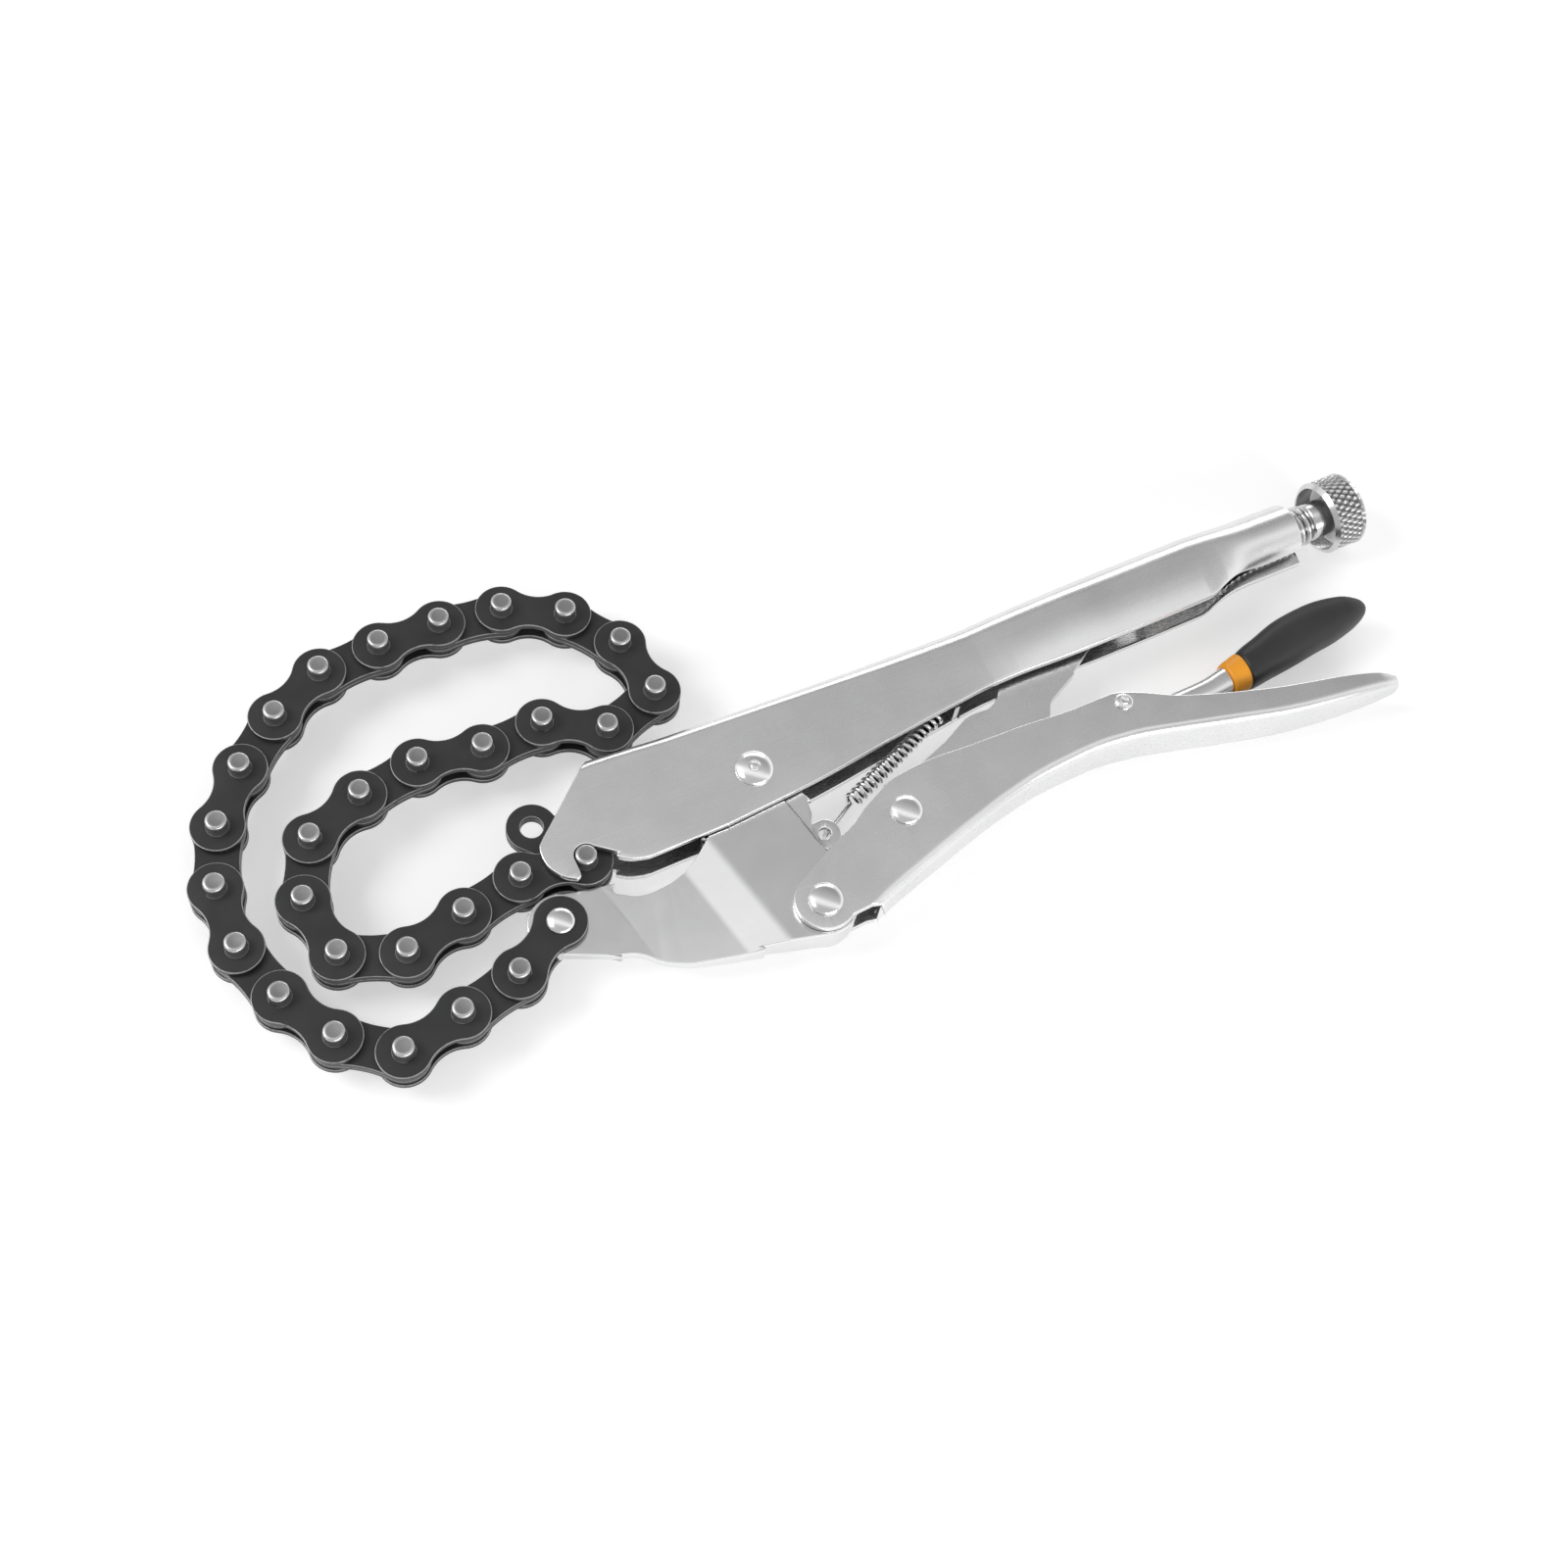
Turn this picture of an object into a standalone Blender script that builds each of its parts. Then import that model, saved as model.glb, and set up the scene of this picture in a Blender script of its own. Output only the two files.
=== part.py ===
"""Chain clamp: locking pliers whose jaws close a leaf chain round a pipe.

The tool lies on its side. +X runs along the fixed handle from the hook to the
adjusting screw, +Y points to the handle's back, and Z runs along every rivet.
All sizes are in metres.
"""

import math

import bmesh
import bpy
from mathutils import Matrix, Vector

MM = 0.001

# Placement of the jaw pivot over the point that the tool rests on
PIVOT_X = -24.9 * MM
PIVOT_Y = -14.85 * MM
MID_HEIGHT = 9.8 * MM

# Running gap between a pin and its hole, and between two faces that slide
PIN_GAP = 0.25 * MM
FACE_GAP = 0.3 * MM
# Reach of a cutter past what it cuts
OVERRUN = 14 * MM

# Half widths that nest: the jaw inside, the two handles' sheets outside it
JAW_HALF = 3.8 * MM
JAW_TONGUE_HALF = 1.4 * MM
SHEET = 1.7 * MM
LEVER_SHEET = 1.8 * MM
HANDLE_SIDE_GAP = 0.6 * MM
HANDLE_HALF_FRONT = JAW_HALF + HANDLE_SIDE_GAP + SHEET
LEVER_HALF_FRONT = JAW_HALF + FACE_GAP + LEVER_SHEET
# Mean radius of the screw's thread, and the room round it in the rolled tube
SCREW_RADIUS = 4.9 * MM
BORE_GAP = 1.0 * MM
HANDLE_HALF_REAR = SCREW_RADIUS + BORE_GAP + SHEET

# Leaf chain
CHAIN_PITCH = 15.875 * MM
CHAIN_PIN_RADIUS = 2.55 * MM
CHAIN_PIN_STAND = 3.4 * MM
OUTER_PLATE_INSIDE = JAW_TONGUE_HALF + FACE_GAP
OUTER_PLATE_THICKNESS = 1.55 * MM
CHAIN_PIN_HALF_LENGTH = OUTER_PLATE_INSIDE + OUTER_PLATE_THICKNESS + CHAIN_PIN_STAND
OUTER_END_RADIUS = 6.5 * MM
OUTER_WAIST_HALF = 4.3 * MM
INNER_PLATE_OFFSET = 0.1 * MM
INNER_PLATE_GAP = 0.2 * MM
INNER_PLATE_THICKNESS = OUTER_PLATE_INSIDE - INNER_PLATE_OFFSET - INNER_PLATE_GAP
INNER_END_RADIUS = 6.15 * MM
INNER_WAIST_HALF = 5.2 * MM
CHAIN_START = (-58.2 * MM, -16.1 * MM)
CHAIN_START_HEADING = -150.0
# Turn of the chain at each pin in degrees, from the jaw round to the hook
CHAIN_TURNS = (
    -17, -2, -49, -23.5, -12, -19.5, -19, -17.5, -12, -11, -23.5, -4, -8, -21, -26.5, -27,
    -79.5, -48, 32.5, -12, 18.5, 13, 41, 34.5, 60, 36, -4.5,
)
LOOSE_END_TURN = 128.1
OUTER_END_STEPS = 6
INNER_END_STEPS = 5
PIN_SIDES = 8

# Fixed handle: folded sheet, open at the bottom, rolled to a tube at the rear
HANDLE_CORNER = 3.0 * MM
HANDLE_FRONT_X = -36.0 * MM
HANDLE_REAR_X = 163.4 * MM
HOOK_SEAT = (-46.35 * MM, -4.3 * MM)
HOOK_SEAT_RADIUS = 2.85 * MM
HOOK_NOSE_RADIUS = 9.0 * MM
HOOK_NOSE_CENTRE = (-47.0 * MM, -1.0 * MM)
TUBE_AXIS_Y = 8.6 * MM
SEAM_ANGLE = 10.0
SEAM_LIP = 4.0 * MM
SEAM_LIP_EDGE = -0.5 * MM
# Each row: x, lower edge, back, half width, roll of the sheet from
# a channel (0) to a tube (1).
HANDLE_ROWS = [
    (-58 * MM, -14.0 * MM, 19.6 * MM, HANDLE_HALF_FRONT, 0.0),
    (-36 * MM, -13.0 * MM, 19.2 * MM, HANDLE_HALF_FRONT, 0.0),
    (-14 * MM, -11.0 * MM, 17.6 * MM, HANDLE_HALF_FRONT, 0.0),
    (12 * MM, -9.1 * MM, 16.7 * MM, HANDLE_HALF_FRONT, 0.0),
    (34 * MM, -6.4 * MM, 16.2 * MM, HANDLE_HALF_FRONT, 0.0),
    (52 * MM, -4.3 * MM, 15.9 * MM, HANDLE_HALF_FRONT, 0.0),
    (66 * MM, -2.9 * MM, 15.7 * MM, HANDLE_HALF_FRONT + 0.2 * MM, 0.0),
    (74 * MM, -2.7 * MM, 16.0 * MM, HANDLE_HALF_FRONT + 0.6 * MM, 0.0),
    (86 * MM, -3.1 * MM, 16.3 * MM, HANDLE_HALF_FRONT + 1.1 * MM, 0.0),
    (102 * MM, -3.3 * MM, 16.5 * MM, HANDLE_HALF_REAR, 0.0),
    (131 * MM, -3.1 * MM, 16.6 * MM, HANDLE_HALF_REAR, 0.0),
    (138 * MM, -1.3 * MM, 16.6 * MM, HANDLE_HALF_REAR, 0.25),
    (146 * MM, 0.6 * MM, 16.5 * MM, HANDLE_HALF_REAR, 0.8),
    (152 * MM, 0.8 * MM, 16.4 * MM, HANDLE_HALF_REAR, 1.0),
    (158 * MM, 0.8 * MM, 16.4 * MM, HANDLE_HALF_REAR - 0.05 * MM, 1.0),
    (HANDLE_REAR_X, 0.8 * MM, 16.4 * MM, HANDLE_HALF_REAR - 0.15 * MM, 1.0),
]
# The press-cut front: slanted edge, hook nose, notch and the edge behind it
HOOK_TIP = [(-49.5 * MM, -8.9 * MM), (-49.3 * MM, -7.6 * MM)]
HOOK_MOUTH = [
    (-41.6 * MM, -6.4 * MM), (-37.6 * MM, -9.6 * MM), (-33.0 * MM, -10.9 * MM), (-12.0 * MM, -10.8 * MM),
]
# Outside of the front cut, well clear of the sheet
HOOK_TOP = 19.0 * MM
HOOK_TOP_RUN = 5.0 * MM
HOOK_WASTE = [(-8.0 * MM, -30.0 * MM), (-70.0 * MM, -30.0 * MM), (-70.0 * MM, 30.0 * MM)]
HOOK_WASTE_TOP = 30.0 * MM
# Struck lug that holds the spring's rear end
LUG_INSET = 2.2 * MM
LUG_EYE_REACH = 4 * MM
LUG_LENGTH = 1.5 * MM
LUG_WIDTH = 6.0 * MM
LUG_RISE = 1.6 * MM
LUG_EYE_RADIUS = 0.75 * MM

# Lower jaw: one sheet folded along its bottom and pinched to a tongue
JAW_SHEET = 1.8 * MM
JAW_TONGUE_RADIUS = 7.8 * MM
JAW_RIDGE_HALF = 2.3 * MM
JAW_VALLEY_X = -41.8 * MM
JAW_RIDGE_X = -23.6 * MM
JAW_FLAT_X = -14.2 * MM
JAW_BEND_LEAN = 11.0
JAW_MIDDLE_Y = -28.0 * MM
JAW_PIVOT_BOSS = 8.0 * MM
JAW_HEEL_RADIUS = 8.1 * MM
JAW_UPPER_EDGE = [
    (-46.0 * MM, -12.4 * MM), (-39.6 * MM, -16.8 * MM), (-36.0 * MM, -17.8 * MM), (-30.0 * MM, -17.4 * MM),
    (-24.5 * MM, -15.8 * MM), (-19.5 * MM, -12.4 * MM), (-14.5 * MM, -8.0 * MM),
]
JAW_REAR_EDGE = [
    (9.2 * MM, -9.0 * MM), (8.2 * MM, -15.6 * MM), (6.3 * MM, -18.6 * MM),
    (6.0 * MM, -23.6 * MM), (8.6 * MM, -26.5 * MM), (9.6 * MM, -33.0 * MM),
]
JAW_LOWER_EDGE = [
    (-12.0 * MM, -43.6 * MM), (-24.0 * MM, -41.0 * MM), (-35.0 * MM, -38.0 * MM),
    (-40.4 * MM, -35.0 * MM), (-44.6 * MM, -30.4 * MM), (-52.0 * MM, -28.0 * MM),
]
# Inside of the fold, one sheet above the lower edge
JAW_FOLD_LINE = [
    (-40.0 * MM, 20 * MM), (-40.0 * MM, -33.4 * MM), (-35.5 * MM, -36.3 * MM), (-24.0 * MM, -39.5 * MM),
    (-12.0 * MM, -42.0 * MM), (3.0 * MM, -43.8 * MM), (30.0 * MM, -43.8 * MM), (30.0 * MM, 20 * MM),
]
# Ends of the jaw's blank and of its hollow along X
JAW_BLANK_ENDS = (-72 * MM, 24 * MM)
JAW_HOLLOW_START = 3 * MM
JAW_HOLLOW_TOE = 0.15 * MM
JAW_HOLLOW_END = 28 * MM
# Joggled ear for the spring's front hook
EAR_ROOT = 0.4 * MM
EAR_OUTLINE = [
    (4.0 * MM, -17.6 * MM), (9.6 * MM, -17.0 * MM), (12.2 * MM, -19.2 * MM),
    (12.2 * MM, -23.4 * MM), (9.8 * MM, -25.6 * MM), (4.0 * MM, -25.6 * MM),
]
EAR_LOW = 0.8 * MM
EAR_HOLE_RADIUS = 1.5 * MM

# Pivots
LEVER_PIVOT = (0.0 * MM, -37.8 * MM)
LINK_PIVOT = (28.6 * MM, -25.1 * MM)
RELEASE_PIVOT = (92.7 * MM, -21.2 * MM)
JAW_RIVET_RADIUS = 3.2 * MM
JAW_RIVET_HEAD = 4.7 * MM
LEVER_RIVET_RADIUS = 2.9 * MM
LEVER_RIVET_HEAD = 4.2 * MM
LINK_RIVET_RADIUS = 2.7 * MM
LINK_RIVET_HEAD = 3.9 * MM
RELEASE_PIN_RADIUS = 1.7 * MM
RELEASE_PIN_HEAD = 2.3 * MM
CHAIN_RIVET_RADIUS = 2.3 * MM
CHAIN_RIVET_HEAD = 3.4 * MM
RIVET_SIDES = 16
RIVET_SEAT_GAP = 0.15 * MM
JAW_RIVET_HEIGHT = 1.7 * MM
LEVER_RIVET_HEIGHT = 1.5 * MM
LINK_RIVET_HEIGHT = 1.4 * MM
CHAIN_RIVET_HEIGHT = 1.4 * MM
RELEASE_PIN_HEIGHT = 0.8 * MM
# Growth of the lever's half width from its front to these two rivets
LEVER_RIVET_LIFT = 0.1 * MM
LINK_RIVET_LIFT = 0.35 * MM

# Lever handle: folded sheet, open at the top
LEVER_HALF_REAR = 6.9 * MM
LEVER_NOSE_RADIUS = 7.5 * MM
LEVER_SPINE_X = 10.5 * MM
LEVER_CORNER = 2.6 * MM
# Outside of the lever's front cut, and its arch under the nose
LEVER_WASTE = [
    (9.6 * MM, -43.6 * MM), (12.5 * MM, -44.4 * MM), (14.0 * MM, -70.0 * MM), (-30.0 * MM, -70.0 * MM),
    (-30.0 * MM, 0.0), (27.0 * MM, 0.0), (27.0 * MM, -17.0 * MM),
]
LEVER_ARCH = [
    (-20 * MM, -60 * MM), (LEVER_SPINE_X, -60 * MM), (LEVER_SPINE_X + 1.5 * MM, -42 * MM),
    (LEVER_SPINE_X - 2.0 * MM, -38 * MM), (-20 * MM, -38 * MM),
]
# Each row: x, open edge, outside of the spine, half width.
LEVER_ROWS = [
    (-9 * MM, -26.0 * MM, -52.0 * MM, LEVER_HALF_FRONT),
    (4 * MM, -26.0 * MM, -48.0 * MM, LEVER_HALF_FRONT),
    (13 * MM, -24.0 * MM, -44.2 * MM, LEVER_HALF_FRONT),
    (26 * MM, -17.0 * MM, -40.2 * MM, LEVER_HALF_FRONT + 0.2 * MM),
    (33 * MM, -15.6 * MM, -38.2 * MM, LEVER_HALF_FRONT + 0.3 * MM),
    (40 * MM, -15.2 * MM, -36.2 * MM, LEVER_HALF_FRONT + 0.4 * MM),
    (52 * MM, -15.9 * MM, -33.2 * MM, LEVER_HALF_FRONT + 0.5 * MM),
    (66 * MM, -16.5 * MM, -30.9 * MM, LEVER_HALF_FRONT + 0.7 * MM),
    (80 * MM, -17.7 * MM, -30.3 * MM, LEVER_HALF_REAR),
    (91 * MM, -17.8 * MM, -31.4 * MM, LEVER_HALF_REAR),
    (97.5 * MM, -20.2 * MM, -32.8 * MM, LEVER_HALF_REAR),
    (106 * MM, -24.8 * MM, -35.0 * MM, LEVER_HALF_REAR),
    (117 * MM, -29.0 * MM, -37.9 * MM, LEVER_HALF_REAR),
    (134 * MM, -34.0 * MM, -41.8 * MM, LEVER_HALF_REAR - 0.3 * MM),
    (150 * MM, -37.4 * MM, -43.7 * MM, LEVER_HALF_REAR - 1.0 * MM),
    (160 * MM, -40.0 * MM, -44.4 * MM, LEVER_HALF_REAR - 2.2 * MM),
    (164 * MM, -42.0 * MM, -44.6 * MM, LEVER_HALF_REAR - 3.4 * MM),
]

# Toggle link
LINK_HALF = 1.5 * MM
LINK_EYE_RADIUS = 7.4 * MM
LINK_HUB_RADIUS = 6.0 * MM
LINK_HUB_GAP = 0.35 * MM
LINK_HUB_HALF = LEVER_HALF_FRONT - LEVER_SHEET - LINK_HUB_GAP
LINK_END = (104.6 * MM, 8.3 * MM)
LINK_END_RADIUS = 4.2 * MM
LINK_LOWER_EDGE = [
    (46.0 * MM, -23.5 * MM), (62.0 * MM, -20.5 * MM), (72.0 * MM, -18.6 * MM),
    (76.2 * MM, -14.9 * MM), (78.3 * MM, -11.4 * MM), (97.7 * MM, -2.4 * MM),
]
LINK_UPPER_EDGE = [
    (92.0 * MM, 10.0 * MM), (76.0 * MM, 3.5 * MM), (68.5 * MM, -1.4 * MM), (66.4 * MM, -5.0 * MM),
    (63.1 * MM, -6.9 * MM), (58.1 * MM, -6.6 * MM), (56.0 * MM, -6.9 * MM), (40.5 * MM, -14.2 * MM),
]

# Adjusting screw with its knurled cup head
SCREW_TIP_X = 109.9 * MM
SCREW_NOSE_RADIUS = 3.0 * MM
SCREW_NOSE_LENGTH = 4.0 * MM
THREAD_END_X = 169.6 * MM
NECK_RADIUS = 4.7 * MM
CUP_FLOOR_X = 178.2 * MM
CUP_RIM_X = 173.1 * MM
CUP_INSIDE_RADIUS = 8.5 * MM
HEAD_RADIUS = 9.8 * MM
HEAD_END_X = 183.4 * MM
HEAD_CHAMFER = 1.1 * MM
HEAD_RIM_CHAMFER = 0.7 * MM
CUP_FLOOR_FILLET = 0.6 * MM
NOSE_CHAMFER = 0.5 * MM
NOSE_SHOULDER = 2.0 * MM
THREAD_CHAMFER = 0.8 * MM

# Release lever with its grip
RELEASE_SIDE_GAP = 1.1 * MM
RELEASE_HALF = LEVER_HALF_REAR - LEVER_SHEET - RELEASE_SIDE_GAP
RELEASE_SHEET = 1.6 * MM
TANG_HALF_WIDTH = 2.0 * MM
# Neck and grip. Each row: x, middle, half height, half width.
NECK_ROWS = [
    (100 * MM, -24.8 * MM, 2.9 * MM, RELEASE_HALF),
    (108 * MM, -25.4 * MM, 3.3 * MM, RELEASE_HALF),
    (116 * MM, -25.3 * MM, 3.4 * MM, RELEASE_HALF),
    (123.4 * MM, -24.3 * MM, 3.6 * MM, RELEASE_HALF),
]
GRIP_ROWS = [
    (129.0 * MM, -23.6 * MM, 4.9 * MM, 4.9 * MM),
    (136.0 * MM, -22.2 * MM, 5.6 * MM, 5.5 * MM),
    (145.0 * MM, -20.6 * MM, 6.3 * MM, 6.1 * MM),
    (155.0 * MM, -19.7 * MM, 6.0 * MM, 6.2 * MM),
    (163.0 * MM, -19.6 * MM, 4.7 * MM, 5.4 * MM),
    (168.0 * MM, -19.9 * MM, 2.7 * MM, 3.6 * MM),
    (169.6 * MM, -20.1 * MM, 1.0 * MM, 1.6 * MM),
]
COLLAR_ENDS = [
    (123.7 * MM, -24.3 * MM, 4.5 * MM, 4.6 * MM),
    (128.7 * MM, -23.6 * MM, 5.0 * MM, 5.0 * MM),
]
ARM_NOSE = (82.6 * MM, -21.4 * MM)
ARM_NOSE_RADIUS = 2.2 * MM
ARM_EYE_RADIUS = 3.9 * MM
ARM_EDGE = [(90.0 * MM, -26.0 * MM), (101.5 * MM, -27.6 * MM), (101.5 * MM, -22.2 * MM)]
ARM_SLOT = [
    (79 * MM, -30 * MM), (98 * MM, -30 * MM), (98 * MM, -24.9 * MM), (96.5 * MM, -10 * MM), (79 * MM, -10 * MM),
]
TANG_TOP = [(120 * MM, -22.4 * MM), (150 * MM, -18.4 * MM), (158 * MM, -18.4 * MM)]
POCKET_MOUTH = 1.0 * MM
TANG_BOTTOM = [(120 * MM, -26.2 * MM), (150 * MM, -22.4 * MM), (158 * MM, -21.4 * MM)]

# Return spring
WIRE_RADIUS = 0.38 * MM
COIL_RADIUS = 1.85 * MM
COIL_TURNS = 17
COIL_PITCH = 1.95 * MM
COIL_POINTS_PER_TURN = 8
SPRING_EYE = (8.9 * MM, -21.1 * MM)
SPRING_COIL_START = (19.6 * MM, -15.2 * MM)
SPRING_DIRECTION = 22.0
SPRING_TAIL = 8.0 * MM
# Front end: height of the wire's straight run, and the steps of its hook up through the ear
WIRE_DROP = 2.2 * MM
HOOK_RISES = (3.6 * MM, 2.0 * MM)
HOOK_BEND = 0.5 * MM
HOOK_BEND_RUN = 0.7 * MM
LEAD_IN = 1.4 * MM
# Rear end: how far the wire runs on as it comes back to the coil's axis
TAIL_RISE = 1.4 * MM
TAIL_DROP = 0.2 * MM
TAIL_START = 2.4 * MM


def clear_scene():
    for item in list(bpy.data.objects):
        bpy.data.objects.remove(item, do_unlink=True)


def new_collection(name, hidden=False):
    made = bpy.data.collections.new(name)
    made.hide_render = hidden
    bpy.context.scene.collection.children.link(made)
    return made


clear_scene()
PARTS = new_collection("chain_clamp")
CUTTERS = new_collection("cutters", hidden=True)


def metal(name, colour, roughness, metallic):
    made = bpy.data.materials.new(name)
    made.use_nodes = True
    shader = made.node_tree.nodes["Principled BSDF"]
    shader.inputs["Base Color"].default_value = (*colour, 1.0)
    shader.inputs["Roughness"].default_value = roughness
    shader.inputs["Metallic"].default_value = metallic
    made.diffuse_color = (*colour, 1.0)
    return made


PLATED = metal("plated_steel", (0.56, 0.56, 0.57), 0.28, 1.0)
BRIGHT = metal("bright_steel", (0.68, 0.68, 0.69), 0.22, 1.0)
OXIDE = metal("black_oxide_steel", (0.055, 0.056, 0.058), 0.42, 0.8)
WIRE = metal("spring_wire", (0.42, 0.42, 0.43), 0.3, 1.0)
ORANGE = metal("orange_vinyl", (0.93, 0.42, 0.04), 0.45, 0.0)
BLACK = metal("black_vinyl", (0.022, 0.022, 0.023), 0.5, 0.0)


def arc(centre, radius, start, end, steps):
    """Points on an arc, with its angles in degrees."""
    found = []
    for i in range(steps + 1):
        angle = math.radians(start + (end - start) * i / steps)
        found.append((centre[0] + radius * math.cos(angle), centre[1] + radius * math.sin(angle)))
    return found


def circle(centre, radius, sides):
    half = 180.0 / sides
    return arc(centre, radius, half, 360.0 + half, sides)[:-1]


def evaluated_mesh(item):
    graph = bpy.context.evaluated_depsgraph_get()
    return bpy.data.meshes.new_from_object(item.evaluated_get(graph))


def place(item, collection=PARTS, parent=None, location=(0.0, 0.0, 0.0), turn=0.0):
    collection.objects.link(item)
    item.location = location
    item.rotation_euler = (0.0, 0.0, math.radians(turn))
    item.parent = parent
    return item


def loose(name, mesh):
    """An object that only serves to build a shape."""
    item = bpy.data.objects.new(name, mesh)
    CUTTERS.objects.link(item)
    item.hide_render = True
    item.display_type = "WIRE"
    return item


def flat_mesh(name, outlines, low, high):
    """A flat outline, with any holes as further outlines, from one level to the next."""
    curve = bpy.data.curves.new(name, "CURVE")
    curve.dimensions = "2D"
    curve.fill_mode = "BOTH"
    curve.extrude = (high - low) / 2
    for outline in outlines:
        spline = curve.splines.new("POLY")
        spline.points.add(len(outline) - 1)
        for point, (x, y) in zip(spline.points, outline):
            point.co = (x, y, 0.0, 1.0)
        spline.use_cyclic_u = True
    item = loose(name, curve)
    mesh = evaluated_mesh(item)
    bpy.data.objects.remove(item, do_unlink=True)
    work = bmesh.new()
    work.from_mesh(mesh)
    bmesh.ops.remove_doubles(work, verts=work.verts, dist=0.001 * MM)
    bmesh.ops.translate(work, verts=work.verts, vec=(0.0, 0.0, (low + high) / 2))
    bmesh.ops.recalc_face_normals(work, faces=work.faces)
    work.to_mesh(mesh)
    work.free()
    mesh.name = name
    return mesh


def turned_mesh(name, profile, sides):
    """A profile of radius and height pairs, top to bottom, turned about Z."""
    mesh = bpy.data.meshes.new(name)
    mesh.from_pydata([(r, 0.0, z) for r, z in profile], [(i, i + 1) for i in range(len(profile) - 1)], [])
    item = loose(name, mesh)
    screw = item.modifiers.new("turn", "SCREW")
    screw.steps = screw.render_steps = sides
    screw.use_merge_vertices = True
    screw.merge_threshold = 0.001 * MM
    made = evaluated_mesh(item)
    bpy.data.objects.remove(item, do_unlink=True)
    return made


def loft_mesh(name, rings):
    """Closed rings of the same count joined in order, with flat ends."""
    work = bmesh.new()
    rows = [[work.verts.new(point) for point in ring] for ring in rings]
    count = len(rings[0])
    for near, far in zip(rows, rows[1:]):
        for i in range(count):
            work.faces.new((near[i], near[(i + 1) % count], far[(i + 1) % count], far[i]))
    work.faces.new(list(reversed(rows[0])))
    work.faces.new(rows[-1])
    bmesh.ops.triangulate(work, faces=[f for f in work.faces if len(f.verts) > 4])
    bmesh.ops.recalc_face_normals(work, faces=work.faces)
    mesh = bpy.data.meshes.new(name)
    work.to_mesh(mesh)
    work.free()
    return mesh


def combined(name, mesh, steps):
    """The mesh after Booleans, each step being an operation and another mesh."""
    item = loose(name, mesh)
    others = []
    for operation, other in steps:
        tool = loose(name + "_tool", other)
        others.append(tool)
        change = item.modifiers.new(operation.lower(), "BOOLEAN")
        change.operation = operation
        change.object = tool
        change.solver = "EXACT"
    made = evaluated_mesh(item)
    for thing in [item] + others:
        bpy.data.objects.remove(thing, do_unlink=True)
    made.name = name
    return made


def piece(name, mesh, material, parent=None, location=(0.0, 0.0, 0.0), turn=0.0, smooth=35.0):
    mesh.materials.clear()
    mesh.materials.append(material)
    mesh.shade_smooth()
    mesh.set_sharp_from_angle(angle=math.radians(smooth))
    item = bpy.data.objects.new(name, mesh)
    return place(item, PARTS, parent, location, turn)


def joint_frame(name, parent, location, turn=0.0):
    """An empty on a joint's axis."""
    frame = bpy.data.objects.new(name, None)
    frame.empty_display_size = 5 * MM
    return place(frame, PARTS, parent, location, turn)


def moved(points, centre):
    """The same points measured from a centre."""
    return [(x - centre[0], y - centre[1]) for x, y in points]


tool = joint_frame("tool_frame", None, (PIVOT_X, PIVOT_Y, MID_HEIGHT))
jaw_frame = joint_frame("jaw_frame", tool, (0.0, 0.0, 0.0))
lever_frame = joint_frame("lever_frame", jaw_frame, (*LEVER_PIVOT, 0.0))
LINK_OFFSET = (LINK_PIVOT[0] - LEVER_PIVOT[0], LINK_PIVOT[1] - LEVER_PIVOT[1])
RELEASE_OFFSET = (RELEASE_PIVOT[0] - LEVER_PIVOT[0], RELEASE_PIVOT[1] - LEVER_PIVOT[1])
link_frame = joint_frame("link_frame", lever_frame, (*LINK_OFFSET, 0.0))
release_frame = joint_frame("release_frame", lever_frame, (*RELEASE_OFFSET, 0.0))


def channel_section(low, back, half, sheet, corner, legs=1, corner_steps=3):
    """The outer and inner lines of a folded channel, from its near edge round the back to its far edge."""
    middle = back - corner
    leg = [low + (middle - low) * i / legs for i in range(legs)]
    lines = []
    for side, radius in ((half, corner), (half - sheet, corner - sheet)):
        line = [(y, side) for y in leg]
        line += arc((middle, side - radius), radius, 90.0, 0.0, corner_steps)
        lines.append(line + [(y, -z) for y, z in reversed(line)])
    return lines


def seamed_arc(radius, lip, count):
    """The rolled sheet from its near edge round to the far edge, which turns out as a lip."""
    last = -180.0 + math.degrees(math.asin(lip / radius))
    points = arc((TUBE_AXIS_Y, 0.0), radius, 180.0 - SEAM_ANGLE, last, count - 2)
    return points + [(SEAM_LIP_EDGE, -lip)]


def handle_ring(x, low, back, half, roll):
    """A section of the fixed handle, from a channel (0) to the tube that the sheet rolls into (1)."""
    outer, inner = channel_section(low, back, half, SHEET, HANDLE_CORNER, 2, 3)
    rolled = seamed_arc(half, SEAM_LIP, len(outer))
    rolled += reversed(seamed_arc(half - SHEET, SEAM_LIP - SHEET, len(inner)))
    ring = []
    for flat, round_ in zip(outer + inner[::-1], rolled):
        ring.append((x, flat[0] + (round_[0] - flat[0]) * roll, flat[1] + (round_[1] - flat[1]) * roll))
    return ring


def hole(centre, radius, reach, sides=RIVET_SIDES):
    return flat_mesh("hole", [circle(centre, radius, sides)], -reach, reach)


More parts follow.
